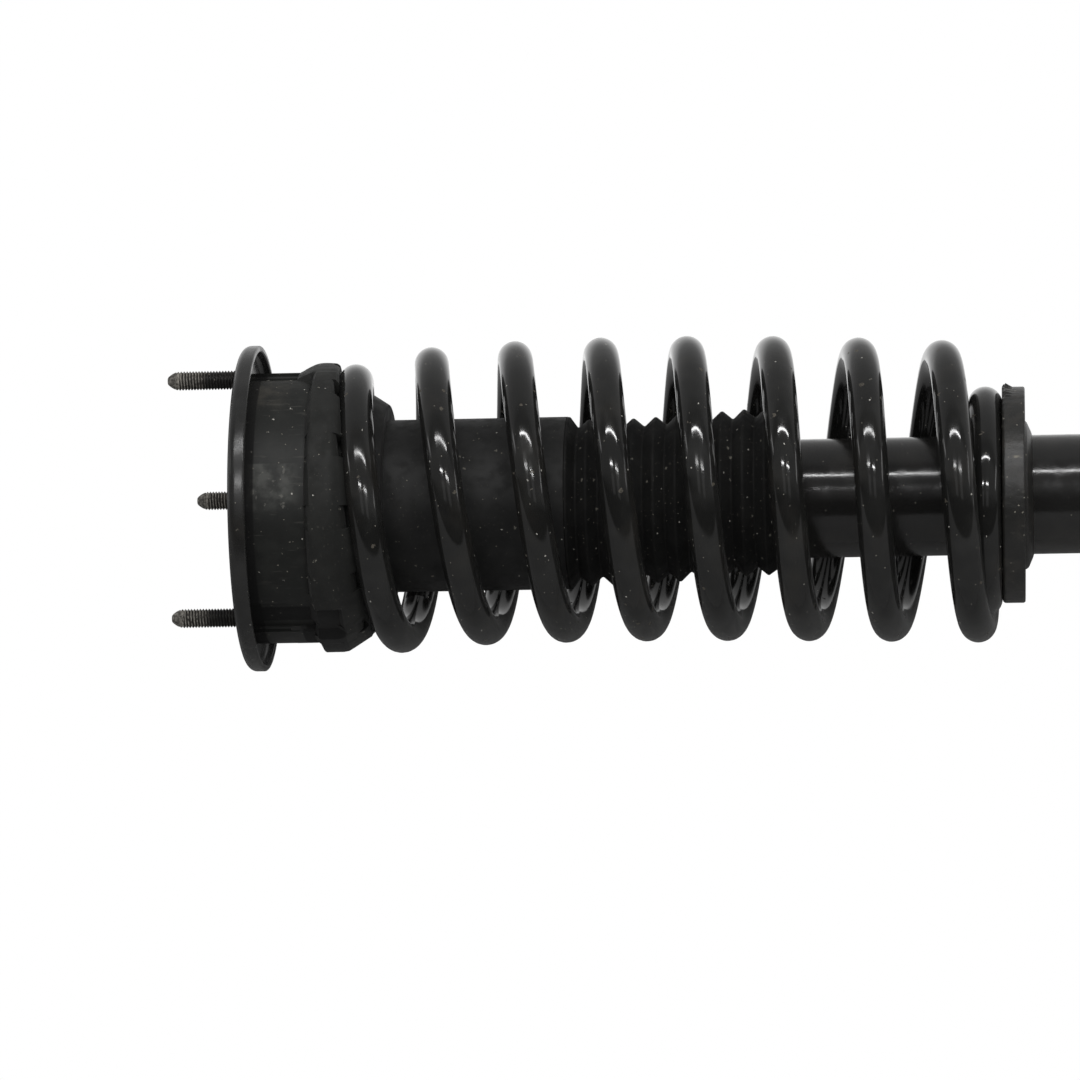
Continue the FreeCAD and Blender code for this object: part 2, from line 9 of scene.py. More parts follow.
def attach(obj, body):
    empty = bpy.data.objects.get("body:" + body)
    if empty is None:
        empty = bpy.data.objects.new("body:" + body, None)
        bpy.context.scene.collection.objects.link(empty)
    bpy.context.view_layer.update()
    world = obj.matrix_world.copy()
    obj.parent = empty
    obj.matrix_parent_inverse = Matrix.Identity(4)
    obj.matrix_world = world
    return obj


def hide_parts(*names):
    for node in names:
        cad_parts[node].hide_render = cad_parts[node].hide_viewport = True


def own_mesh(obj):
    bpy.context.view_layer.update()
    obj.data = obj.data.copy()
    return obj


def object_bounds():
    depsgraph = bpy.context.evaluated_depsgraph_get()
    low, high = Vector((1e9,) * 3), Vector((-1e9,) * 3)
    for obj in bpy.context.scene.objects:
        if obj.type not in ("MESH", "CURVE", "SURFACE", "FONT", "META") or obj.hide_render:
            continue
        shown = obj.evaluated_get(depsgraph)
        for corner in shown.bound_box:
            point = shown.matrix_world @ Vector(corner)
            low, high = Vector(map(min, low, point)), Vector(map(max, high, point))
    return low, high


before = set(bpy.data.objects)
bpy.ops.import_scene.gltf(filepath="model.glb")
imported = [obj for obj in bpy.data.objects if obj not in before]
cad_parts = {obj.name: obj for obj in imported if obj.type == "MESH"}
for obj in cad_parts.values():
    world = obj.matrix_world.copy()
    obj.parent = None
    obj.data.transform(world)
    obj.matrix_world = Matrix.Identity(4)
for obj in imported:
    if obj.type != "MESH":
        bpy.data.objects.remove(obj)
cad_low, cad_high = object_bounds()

MM = 0.001
AXIS_X = -4.1          # strut's axis, in mm from the stud circle's centre
UPPER = "top_mount"
LOWER = "damper_body"


# Camera, as the photograph's: the strut lies across the picture with its top to the left

PHOTO_PIXELS = 1080
CAMERA_PIXELS = 6000          # camera distance in pixels of the photograph
MM_PER_PIXEL = 0.4222
YAW = math.radians(4.4)       # lower end nearer the camera
ROLL = math.radians(1.02)
CENTRE_DEPTH = 124.5          # depth of the axis point over the picture's centre
CENTRE_RISE = 36.5            # its height over that centre, in pixels
SENSOR = 36.0
CLIP_START, CLIP_END = 0.1, 50.0


def camera_axes():
    """Picture right, picture down and away from the camera, in the part's frame."""
    down_strut = Vector((
        math.cos(YAW) * math.cos(ROLL), -math.cos(YAW) * math.sin(ROLL), -math.sin(YAW)))
    part_z = -down_strut
    part_x = Vector((-math.sin(ROLL), -math.cos(ROLL), 0.0))
    part_y = part_z.cross(part_x)
    part_x = part_y.cross(part_z)
    return [Vector(row) for row in Matrix((part_x, part_y, part_z)).transposed()]


def new_object(name, data):
    made = bpy.data.objects.new(name, data)
    bpy.context.scene.collection.objects.link(made)
    return made


def placed(place, right, up, back):
    """Matrix of a camera or a lamp at a place."""
    return Matrix.Translation(place) @ Matrix((right, up, back)).transposed().to_4x4()


def add_camera():
    right, down, away = camera_axes()
    centre = Vector((AXIS_X, 0.0, -CENTRE_DEPTH))
    place = centre - (down * -CENTRE_RISE + away * CAMERA_PIXELS) * MM_PER_PIXEL
    data = bpy.data.cameras.new("camera")
    data.sensor_width = SENSOR
    data.lens = SENSOR * CAMERA_PIXELS / PHOTO_PIXELS
    data.clip_start = CLIP_START
    data.clip_end = CLIP_END
    camera = new_object("camera", data)
    camera.matrix_world = placed(place * MM, right, -down, -away)
    bpy.context.scene.camera = camera
    return right, down, away


picture_right, picture_down, picture_away = add_camera()


# Materials

DUST = (0.16, 0.15, 0.125)
PALE_DUST = (0.34, 0.33, 0.30)
BROWN_DIRT = (0.052, 0.045, 0.034)
ACROSS_ALL = 90.0             # half width of a patch that spans the strut


def grey(value):
    return (value,) * 3


def scaled(colour, factor):
    return tuple(c * factor for c in colour)


def fill(tree, node, inputs):
    """Gives a node's sockets plain values or other nodes' outputs, and returns its outputs."""
    for socket, value in inputs.items():
        if isinstance(value, bpy.types.NodeSocket):
            tree.links.new(value, node.inputs[socket])
        else:
            node.inputs[socket].default_value = value
    return node.outputs


def math_node(tree, operation, first, second=0.0):
    made = tree.nodes.new("ShaderNodeMath")
    made.operation = operation
    return fill(tree, made, {0: first, 1: second})[0]


def mix_node(tree, kind, mask, first, second):
    """Mix by a mask, of colours for the kind RGBA and of numbers for FLOAT."""
    made = tree.nodes.new("ShaderNodeMix")
    made.data_type = kind
    start, result = (6, 2) if kind == "RGBA" else (2, 0)
    return fill(tree, made, {"Factor": mask, start: first, start + 1: second})[result]


class Surface:
    """A Principled material whose colour, roughness and bump come from procedural masks.

    Sizes are in mm. A noise is given as (size of its features, detail, seed, stretch).
    """

    def __init__(self, name, colour, rough, metallic=0.0, specular=0.5):
        self.material = bpy.data.materials.new(name)
        self.material.use_nodes = True
        self.tree = self.material.node_tree
        self.shader = self.tree.nodes["Principled BSDF"]
        fill(self.tree, self.shader, {"Metallic": metallic, "Specular IOR Level": specular})
        self.coords = self.node("ShaderNodeTexCoord")["Object"]
        self.colour = self.constant("ShaderNodeRGB", (*colour, 1.0))
        self.rough = self.constant("ShaderNodeValue", rough)
        self.height = None

    def node(self, kind, inputs=None):
        """Outputs of a new node."""
        return fill(self.tree, self.tree.nodes.new(kind), inputs or {})

    def constant(self, kind, value):
        made = self.node(kind)[0]
        made.default_value = value
        return made

    def math(self, operation, first, second=0.0):
        return math_node(self.tree, operation, first, second)

    def times(self, first, second):
        return self.math("MULTIPLY", first, second)

    def moved(self, scale, offset):
        return self.node("ShaderNodeMapping", {
            "Scale": scale, "Location": offset, "Vector": self.coords})[0]

    def noise(self, size, detail, seed=0.0, stretch=(1, 1, 1)):
        scale = [1000.0 / size / s for s in stretch]
        return self.node("ShaderNodeTexNoise", {
            "Scale": 1.0, "Detail": detail,
            "Vector": self.moved(scale, (seed, seed * 1.7, seed * 0.6))})["Fac"]

    def between(self, value, low, high, out_low=0.0, out_high=1.0):
        """Smooth ramp from out_low at low to out_high at high."""
        made = self.tree.nodes.new("ShaderNodeMapRange")
        made.interpolation_type = "SMOOTHSTEP"
        return fill(self.tree, made, {
            "Value": value, "From Min": low, "From Max": high, "To Min": out_low,
            "To Max": out_high})["Result"]

    def cloud(self, noise_settings, low, high, out_low=0.0, out_high=1.0):
        return self.between(self.noise(*noise_settings), low, high, out_low, out_high)

    def specks(self, spacing, size, share, seed):
        """Scattered dots: one in each cell of spacing mm, kept in a share of the cells."""
        cells = self.node("ShaderNodeTexVoronoi", {
            "Scale": 1.0, "Randomness": 1.0,
            "Vector": self.moved([1000.0 / spacing] * 3, (seed, seed * 0.7, seed * 1.3))})
        wobble = self.cloud((size * 1.2, 2.0, seed + 3.0), 0.3, 0.7, 0.4, 1.6)
        inside = self.math("LESS_THAN", cells["Distance"], self.times(wobble, size / spacing))
        draw = self.node("ShaderNodeSeparateColor", {0: cells["Color"]})[0]
        return self.times(inside, self.math("LESS_THAN", draw, share))

    def patch(self, centre, half, soft):
        """1 inside a soft-edged box given in mm in the part's frame."""
        split = self.node("ShaderNodeSeparateXYZ", {0: self.coords})
        sides = []
        for i in range(3):
            away = self.math("ABSOLUTE", self.math("SUBTRACT", split[i], centre[i] * MM))
            sides.append(self.between(away, half[i] * MM, (half[i] + soft) * MM, 1.0, 0.0))
        return self.times(self.times(sides[0], sides[1]), sides[2])

    def band(self, height, half, soft):
        """1 within half mm of a height."""
        return self.patch((0.0, 0.0, height), (ACROSS_ALL, ACROSS_ALL, half), soft)

    def mix_colour(self, mask, colour):
        self.colour = mix_node(self.tree, "RGBA", mask, self.colour, (*colour, 1.0))

    def mix_rough(self, mask, rough):
        self.rough = mix_node(self.tree, "FLOAT", mask, self.rough, rough)

    def cover(self, mask, colour, rough, share=None):
        """Lays a colour and a roughness over the mask, thinned to a share of it."""
        if share is not None:
            mask = self.times(mask, share)
        self.mix_colour(mask, colour)
        self.mix_rough(mask, rough)

    def dust(self, spacing, size, share, seed, colour, rough):
        self.cover(self.specks(spacing, size, share, seed), colour, rough)

    def bump(self, value, depth):
        """Adds a relief of depth mm."""
        rise = self.times(value, depth)
        self.height = rise if self.height is None else self.math("ADD", self.height, rise)

    def done(self, *grains):
        """The material, with a fine relief for each (size, detail, seed, depth)."""
        for *noise_settings, depth in grains:
            self.bump(self.noise(*noise_settings), depth)
        looks = {"Base Color": self.colour, "Roughness": self.rough}
        if self.height is not None:
            looks["Normal"] = self.node("ShaderNodeBump", {
                "Strength": 1.0, "Distance": MM, "Height": self.height})["Normal"]
        fill(self.tree, self.shader, looks)
        return self.material


def glossy_paint(name, colour, rough, wave, chips, dull_top=False):
    """Dipped black paint: slight waves and orange peel, dust and small chips."""
    s = Surface(name, colour, rough)
    s.mix_colour(s.cloud((14.0, 2.0), 0.4, 0.75), scaled(colour, 1.7))
    s.mix_rough(s.cloud((9.0, 3.0, 2.0), 0.45, 0.8), rough + 0.1)
    film = s.cloud((26.0, 4.0, 7.0), 0.52, 0.8, 0.0, 0.5)
    s.cover(film, (0.020, 0.018, 0.015), rough + 0.22)
    s.dust(2.6, 0.22, 0.30 * chips, 1.0, DUST, 0.8)
    s.dust(4.4, 0.32, 0.22 * chips, 5.0, PALE_DUST, 0.85)
    s.dust(7.0, 0.8, 0.35 * chips, 9.0, BROWN_DIRT, 0.7)
    if dull_top:
        scuffed = s.cloud((6.0, 4.0, 12.0), 0.3, 0.7, 0.75, 1.0)
        s.cover(s.band(1.5, 1.9, 0.5), (0.012, 0.0118, 0.011), 0.68, scuffed)
    return s.done((5.0, 2.0, 4.0, wave), (1.1, 1.0, 6.0, wave * 0.10))


def satin_paint(name):
    """Housing paint, dulled by a dusty film and a dried patch on its near panel; painted shade
    darkens it under the flange's rim, in the flute and at the tab's foot.
    """
    s = Surface(name, (0.0070, 0.0075, 0.0067), 0.54, specular=0.32)
    s.mix_colour(s.cloud((8.0, 5.0), 0.42, 0.72, 0.0, 0.7), (0.0130, 0.0135, 0.0120))
    stain = s.cloud((5.5, 6.0, 3.0), 0.36, 0.68, 0.12, 1.0)
    near = s.patch((4.2, -57.0, -19.0), (9.6, 9.0, 12.0), 0.7)
    fade = s.patch((8.0, -57.0, -15.0), (6.5, 9.0, 7.0), 9.0)
    s.cover(s.times(s.times(near, fade), stain), (0.056, 0.057, 0.053), 0.75, 0.95)
    daubs = s.cloud((3.0, 3.0, 11.0), 0.62, 0.70)
    s.cover(s.times(near, daubs), (0.110, 0.108, 0.097), 0.8, 0.6)
    corner = s.patch((48.0, -30.0, -12.0), (7.0, 8.0, 7.0), 6.0)
    s.cover(corner, (0.070, 0.062, 0.05), 0.7, s.times(stain, 0.3))
    s.dust(2.4, 0.24, 0.4, 2.0, DUST, 0.85)
    s.dust(4.5, 0.34, 0.35, 6.0, PALE_DUST, 0.85)
    runs = s.cloud((1.6, 3.0, 8.0, (1, 1, 9)), 0.62, 0.72, 0.0, 0.35)
    s.cover(runs, (0.05, 0.048, 0.042), 0.65)
    # Painted shade: the housing darkened in a band under the flange's overhanging rim.
    under_rim_painted_shade = s.band(-7.0, 2.2, 0.9)
    # Painted shade: a dark streak in the flute, where its wall lies in shadow.
    flute_painted_shade = s.patch((-48.4, -30.5, -15.0), (2.5, 5.0, 20.0), 0.7)
    # Painted shade: the housing darkened at the tab's foot, over the isolator's recess.
    tab_foot_painted_shade = s.patch((-62.0, -25.0, -29.0), (8.0, 20.0, 3.0), 0.8)
    s.cover(under_rim_painted_shade, grey(0.0025), 0.85, 0.85)
    s.cover(flute_painted_shade, grey(0.0025), 0.75, 0.85)
    s.cover(tab_foot_painted_shade, grey(0.003), 0.8, 0.8)
    return s.done((2.6, 3.0, 5.0, 0.05), (0.5, 2.0, 9.0, 0.012))


def stud_finish(name):
    """Dark phosphate, rubbed pale on the thread crests towards the tip."""
    s = Surface(name, (0.020, 0.018, 0.016), 0.55, metallic=0.35)
    s.mix_colour(s.cloud((1.5, 4.0), 0.4, 0.7, 0.0, 0.8), (0.055, 0.048, 0.040))
    crest = s.tree.nodes.new("ShaderNodeAttribute")
    crest.attribute_name = "crest"
    worn = s.cloud((1.3, 4.0, 2.0), 0.3, 0.55)
    s.cover(crest.outputs["Fac"], (0.30, 0.285, 0.255), 0.6, worn)
    nose = s.band(28.0, 2.6, 1.6)
    rubbed = s.cloud((1.1, 4.0, 10.0), 0.40, 0.62, 0.9, 0.45)
    s.cover(nose, (0.046, 0.043, 0.038), 0.55, rubbed)
    painted = s.band(7.0, 4.5, 4.0)
    s.cover(painted, grey(0.008), 0.35, 0.8)
    s.dust(2.6, 0.3, 0.4, 4.0, (0.16, 0.14, 0.115), 0.8)
    return s.done((0.4, 3.0, 6.0, 0.03))


def moulded_rubber(name, colour, rough, pale, dusty=1.0, grain=0.03, bloom=0.12, specular=0.35,
                   paint_recess_shade=False):
    """Matte moulded rubber with a bloom, fine grain and dust in it, and painted shade in the
    isolator's recess when asked.
    """
    s = Surface(name, colour, rough, specular=specular)
    s.mix_colour(s.cloud((11.0, 4.0), 0.38, 0.72), pale)
    s.mix_rough(s.cloud((6.0, 3.0, 2.0), 0.4, 0.7), min(rough + 0.16, 1.0))
    s.dust(2.8, 0.20, 0.32 * dusty, 3.0, DUST, 0.9)
    s.dust(5.0, 0.30, 0.30 * dusty, 7.0, PALE_DUST, 0.9)
    scuff = s.cloud((1.2, 4.0, 5.0, (1, 5, 1)), 0.64, 0.72, 0.0, 0.35 * dusty)
    s.cover(scuff, (0.05, 0.047, 0.04), 0.8)
    s.dust(7.5, 0.55, 0.5 * dusty, 13.0, (0.105, 0.100, 0.085), 0.9)
    if paint_recess_shade:
        # Painted shade: the isolator's recess under the tab darkened.
        recess = s.patch((-60.5, -25.0, -35.5), (13.0, 20.0, 8.0), 0.8)
        s.cover(recess, grey(0.0030), 0.9, 0.8)
    fill(s.tree, s.shader, {
        "Sheen Weight": bloom, "Sheen Roughness": 0.5, "Sheen Tint": (0.5, 0.5, 0.5, 1.0)})
    return s.done((3.0, 2.0, 8.0, grain * 2), (0.35, 2.0, 9.0, grain * 0.4))


def seat_finish(name):
    """Thick paint over the pressed dish, with scratches and dirt on its rim."""
    s = Surface(name, (0.0105, 0.0103, 0.0096), 0.40)
    s.mix_colour(s.cloud((6.0, 4.0), 0.42, 0.72), (0.018, 0.0165, 0.0145))
    scratch = s.cloud((1.4, 4.0, 3.0, (1, 3, 2)), 0.64, 0.72, 0.0, 0.45)
    s.cover(scratch, (0.050, 0.047, 0.040), 0.6)
    near = s.patch((11.4, -43.0, -325.0), (0.22, 8.0, 3.0), 0.5)
    s.cover(near, DUST, 0.7, s.cloud((1.6, 3.0, 4.0), 0.38, 0.7))
    s.dust(3.0, 0.3, 0.4, 6.0, DUST, 0.85)
    return s.done((2.2, 4.0, 5.0, 0.12), (0.5, 2.0, 9.0, 0.02))


def tube_finish(name):
    """Nearly smooth paint, with a fine pebble that breaks up its highlight."""
    s = Surface(name, (0.0095, 0.0093, 0.0090), 0.13)
    s.mix_colour(s.cloud((16.0, 3.0), 0.4, 0.75), (0.016, 0.0152, 0.0140))
    s.mix_rough(s.cloud((7.0, 3.0, 2.0), 0.42, 0.7), 0.22)
    s.dust(3.4, 0.22, 0.3, 3.0, DUST, 0.85)
    return s.done((3.4, 2.0, 5.0, 0.035), (0.8, 2.0, 9.0, 0.012))


def turned_metal(name, colour, rough, oily=0.3):
    """Machined or drawn metal: fine rings round the axis, dulled in patches."""
    s = Surface(name, colour, rough, metallic=1.0)
    rings = s.noise(0.35, 2.0, 0.0, (40, 40, 1))
    s.mix_rough(s.between(rings, 0.35, 0.7), min(rough + 0.18, 1.0))
    dull = s.cloud((5.0, 4.0, 3.0), 0.45, 0.75, 0.0, oily)
    s.cover(dull, scaled(colour, 0.45), min(rough + 0.3, 1.0))
    s.dust(6.0, 0.2, 0.25, 5.0, (0.09, 0.08, 0.07), 0.8)
    s.bump(rings, 0.008)
    return s.done((2.2, 3.0, 6.0, 0.015))


def moulded_plastic(name, colour, rough):
    s = Surface(name, colour, rough)
    s.mix_colour(s.cloud((9.0, 3.0), 0.4, 0.7, 0.0, 0.6), scaled(colour, 0.7))
    s.mix_rough(s.cloud((4.0, 3.0, 4.0), 0.4, 0.7), rough + 0.12)
    return s.done((0.7, 2.0, 7.0, 0.02))


def foam(name):
    """Micro-cellular foam with a skin of fine open pores."""
    s = Surface(name, (0.62, 0.52, 0.30), 0.8, specular=0.25)
    s.mix_colour(s.cloud((7.0, 4.0), 0.35, 0.7), (0.50, 0.39, 0.20))
    pores = s.specks(1.1, 0.2, 0.7, 2.0)
    s.cover(pores, (0.28, 0.21, 0.10), 0.95)
    s.bump(s.times(pores, -1.0), 0.08)
    return s.done((1.6, 3.0, 5.0, 0.05))


def sintered(name):
    s = Surface(name, (0.17, 0.165, 0.155), 0.5, metallic=0.8)
    s.mix_colour(s.cloud((0.6, 5.0), 0.4, 0.65), (0.09, 0.088, 0.082))
    s.mix_rough(s.cloud((1.1, 3.0, 2.0), 0.4, 0.7), 0.7)
    return s.done((0.4, 3.0, 4.0, 0.03))


# Each slot's CAD nodes, its finish and that finish's settings
slot_settings = {
    "flange_paint": ("top_flange", glossy_paint, (0.0085, 0.0085, 0.0082), 0.24, 0.05, 0.9, True),
    "spring_paint": ("coil_spring", glossy_paint, (0.0075, 0.0075, 0.0072), 0.08, 0.024, 1.0),
    "housing_paint": ("mount_housing upper_spring_seat", satin_paint),
    "stud_steel": ("mount_studs", stud_finish),
    "seat_paint": ("lower_spring_seat seat_gusset", seat_finish),
    "tube_paint": ("damper_tube tube_base lower_eye", tube_finish),
    "isolator_rubber": (
        "spring_isolator", moulded_rubber, (0.0070, 0.0073, 0.0065), 0.62,
        (0.0105, 0.0108, 0.0096), 1.0, 0.03, 0.08, 0.30, True),
    "boot_rubber": (
        "boot_retainer dust_sleeve dust_bellows", moulded_rubber, (0.006, 0.006, 0.0058), 0.58,
        (0.01, 0.01, 0.0096), 1.0, 0.02, 0.04),
    "pleat_rubber": (
        "", moulded_rubber, (0.006, 0.006, 0.0058), 0.66, (0.009, 0.009, 0.0086), 1.7, 0.02, 0.0,
        0.18),
    "mount_rubber": (
        "mount_bush eye_bush", moulded_rubber, (0.014, 0.014, 0.0135), 0.6,
        (0.021, 0.021, 0.020), 0.5),
    "seal_rubber": (
        "rod_seal", moulded_rubber, (0.016, 0.014, 0.012), 0.5, (0.022, 0.020, 0.018), 0.2),
    "stop_foam": ("bump_stop", foam),
    "stop_plastic": ("bump_stop_cup", moulded_plastic, (0.020, 0.020, 0.021), 0.42),
    "cap_plastic": ("tube_cap", moulded_plastic, (0.024, 0.024, 0.025), 0.38),
    "ring_plastic": ("piston_ring", moulded_plastic, (0.045, 0.06, 0.045), 0.45),
    "bare_steel": (
        "mount_core rebound_stop piston_valve_discs inner_cylinder eye_sleeve", turned_metal,
        (0.44, 0.43, 0.41), 0.36),
    "fastener_steel": (
        "rod_nut upper_washer piston_nut", turned_metal, (0.36, 0.34, 0.28), 0.38),
    "rod_chrome": ("piston_rod", turned_metal, (0.62, 0.62, 0.63), 0.08, 0.1),
    "sintered_iron": ("piston rod_guide base_valve", sintered),
}

finishes = {}
for slot, (nodes, make, *settings) in slot_settings.items():
    finishes[slot] = make(slot, *settings)
    for node in nodes.split():
        mesh_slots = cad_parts[node].data.materials
        if len(mesh_slots) == 0:
            mesh_slots.append(finishes[slot])
        for i in range(len(mesh_slots)):
            mesh_slots[i] = finishes[slot]


# Mesh builders, in mm from the strut's axis, with depth counted down from the mounting face

MERGE_DISTANCE = 1e-7         # metres
ON_AXIS = 1e-6


def polar(radius, angle, depth):
    return radius * math.cos(angle), radius * math.sin(angle), depth


def on_circle(radius, j, sides, depth):
    return polar(radius, 2 * math.pi * j / sides, depth)


def quads(rows, columns, wrap_rows=False, wrap_columns=True):
    """Faces between neighbouring rows of points, each row a ring unless told otherwise."""
    faces = []
    for i in range(rows if wrap_rows else rows - 1):
        k = (i + 1) % rows
        for j in range(columns if wrap_columns else columns - 1):
            n = (j + 1) % columns
            faces.append((i * columns + j, i * columns + n, k * columns + n, k * columns + j))
    return faces


def bar_faces(rows, sides):
    """Faces of a bar made of rings of points, closed at both ends."""
    last = (rows - 1) * sides
    return quads(rows, sides) + [tuple(range(sides)), tuple(range(last, last + sides))]


def add_piece(name, points, faces, body, slot, nodes=(), sharp=35.0, crest=None):
    """Piece of (x, y, depth) points that rides on body and stands for the CAD nodes given.

    With crest marks, one for each point, the points aren't merged.
    """
    mesh = bpy.data.meshes.new(name)
    mesh.from_pydata([((x + AXIS_X) * MM, y * MM, -d * MM) for x, y, d in points], [], faces)
    work = bmesh.new()
    work.from_mesh(mesh)
    if crest is None:
        bmesh.ops.remove_doubles(work, verts=work.verts, dist=MERGE_DISTANCE)
    bmesh.ops.recalc_face_normals(work, faces=work.faces)
    work.to_mesh(mesh)
    work.free()
    if crest is not None:
        marks = mesh.attributes.new("crest", "FLOAT", "POINT")
        marks.data.foreach_set("value", np.array(crest, np.float32))
    mesh.shade_smooth()
    mesh.set_sharp_from_angle(angle=math.radians(sharp))
    mesh.materials.append(finishes[slot])
    piece = new_object(name, mesh)
    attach(piece, body)
    if nodes:
        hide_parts(*nodes)
    return piece


def rounded(corners, steps=5):
    """Outline through (radius, depth, rounding) corners, each rounded by a short arc."""
    line = []
    count = len(corners)
    for i in range(count):
        here = Vector(corners[i][:2])
        size = corners[i][2] if len(corners[i]) > 2 else 0.0
        if size <= 0:
            line.append(tuple(here))
            continue
        back = Vector(corners[i - 1][:2]) - here
        ahead = Vector(corners[(i + 1) % count][:2]) - here
        half = back.angle(ahead) / 2
        reach = min(size / math.tan(half), back.length * 0.48, ahead.length * 0.48)
        radius = reach * math.tan(half)
        back.normalize()
        ahead.normalize()
        middle = here + (back + ahead).normalized() * (radius / math.sin(half))
        start, stop = here + back * reach - middle, here + ahead * reach - middle
        turn = start.angle_signed(stop)
        for k in range(steps + 1):
            spoke = Matrix.Rotation(-turn * k / steps, 2) @ start
            line.append(tuple(middle + spoke))
    return line


def lathe_points(line, sides, shift=None):
    """Points and faces of a (radius, depth) outline turned about the axis."""
    points = [on_circle(r, j, sides, d) for r, d in line for j in range(sides)]
    if shift:
        points = [shift(*point) for point in points]
    meets_axis = line[0][0] < ON_AXIS and line[-1][0] < ON_AXIS
    return points, quads(len(line), sides, wrap_rows=not meets_axis)


def add_lathe(name, corners, body, slot, nodes=(), sides=160, steps=5, shift=None, sharp=35.0):
    points, faces = lathe_points(rounded(corners, steps), sides, shift)
    return add_piece(name, points, faces, body, slot, nodes, sharp)


def bar_rings(centres, radii, sides):
    """Rings of points of a round bar along a line of centres."""
    centres = [Vector(c) for c in centres]
    count = len(centres)
    rings = []
    side = None
    for i in range(count):
        ahead = (centres[min(i + 1, count - 1)] - centres[max(i - 1, 0)]).normalized()
        if side is None:
            side = ahead.cross(Vector((0, 0, 1))).normalized()
        side = (side - ahead * side.dot(ahead)).normalized()
        other = ahead.cross(side)
        ring = []
        for j in range(sides):
            across, up, _ = on_circle(1.0, j, sides, 0.0)
            ring.append(tuple(centres[i] + (side * across + other * up) * radii[i]))
        rings.append(ring)
    return rings


def add_bar(name, rings, body, slot, nodes=()):
    points = [point for ring in rings for point in ring]
    return add_piece(name, points, bar_faces(len(rings), len(rings[0])), body, slot, nodes)


def soft_max(a, b, blend):
    return 0.5 * (a + b + math.sqrt((a - b) ** 2 + blend ** 2))


def soft_min(a, b, blend):
    return -soft_max(-a, -b, blend)


def smooth_step(t):
    t = min(max(t, 0.0), 1.0)
    return t * t * (3 - 2 * t)


# Flange and studs

FLANGE_R = 68.97
FLANGE_HOLE_R = 25.0
FLANGE_T = 2.8
RIM_INNER_R = 66.2
RIM_DROP = 7.4
STUD_CIRCLE_R = 57.5
STUD_ANGLES = (90.0, 210.0, 330.0)
STUD_LENGTH = 28.8
THREAD_PITCH = 1.25
THREAD_HEIGHT = 0.62
THREAD_RUN_OUT = 0.6          # length of its start at the foot
ROWS_PER_PITCH = 10


def thread_radius(crest_r, turn_share):
    """Radius of a thread's flank at a share of a turn, with a flat crest and a rounded root."""
    t = abs((turn_share % 1.0) - 0.5) * 2
    return crest_r - THREAD_HEIGHT * min(max((t - 0.10) / 0.72, 0.0), 1.0)


def threaded_pin(crest_r, bottom, top, nose, nose_r, foot_r, foot, sides=40):
    """Points, faces and crest marks, which say how far rubbed bare; bottom and top are depths."""
    points, crest = [], []
    for depth in (bottom + foot, bottom):
        points += [on_circle(foot_r, j, sides, depth) for j in range(sides)]
        crest += [0.0] * sides
    count = int(round((bottom - top) / THREAD_PITCH * ROWS_PER_PITCH))
    for i in range(count + 1):
        depth = bottom - (bottom - top) * i / count
        rise = bottom - depth
        left = depth - top
        limit = crest_r
        if left < nose:
            limit = nose_r + (crest_r - nose_r) * max(1 - (1 - left / nose) ** 1.7, 0.0) ** 0.8
        for j in range(sides):
            radius = thread_radius(crest_r, rise / THREAD_PITCH - j / sides)
            if rise < THREAD_RUN_OUT:
                radius = crest_r - THREAD_HEIGHT * 0.6
            radius = min(radius, limit)
            bare = radius > crest_r - THREAD_HEIGHT * 0.30 or left < nose
            crest.append(0.35 + 0.65 * smooth_step((rise - 6.0) / 16.0) if bare else 0.0)
            points.append(on_circle(radius, j, sides, depth))
    return points, bar_faces(count + 3, sides), crest


def add_threaded(name, places, pin, body, slot, nodes=()):
    """Copies of a threaded pin at the (x, y) places, as one piece."""
    own_points, own_faces, own_crest = pin
    points, faces = [], []
    for x, y in places:
        start = len(points)
        points += [(px + x, py + y, d) for px, py, d in own_points]
        faces += [tuple(v + start for v in face) for face in own_faces]
    return add_piece(name, points, faces, body, slot, nodes, 40.0, own_crest * len(places))


studs = [polar(STUD_CIRCLE_R, math.radians(a), 0.0) for a in STUD_ANGLES]
add_lathe("flange_shell", [
    (FLANGE_HOLE_R, 0.0, 0.4), (FLANGE_R, 0.0, 5.4), (FLANGE_R, RIM_DROP, 1.0),
    (RIM_INNER_R, RIM_DROP, 0.7), (RIM_INNER_R, FLANGE_T, 2.4), (FLANGE_HOLE_R, FLANGE_T, 0.4)],
    UPPER, "flange_paint", ("top_flange",), 240, 8)
add_threaded(
    "threaded_studs", [(x - AXIS_X, y) for x, y, _ in studs],
    threaded_pin(4.0, 0.0, -STUD_LENGTH, nose=5.2, nose_r=1.3, foot_r=4.3, foot=4.0),
    UPPER, "stud_steel", ("mount_studs",))


# Rod and its nut

SPIGOT_R = 6.0
SPIGOT_TOP = -4.0
NUT_TOP, NUT_BOTTOM = -0.7, 9.3
NUT_ACROSS = 19.0
NUT_BORE_R = 6.05
NUT_SIDES = 144
ROD_R = 9.0
ROD_SHOULDER = 28.3
PISTON_SEAT = 263.2
ROD_END = 294.7
ROD_TAIL_R = 5.0


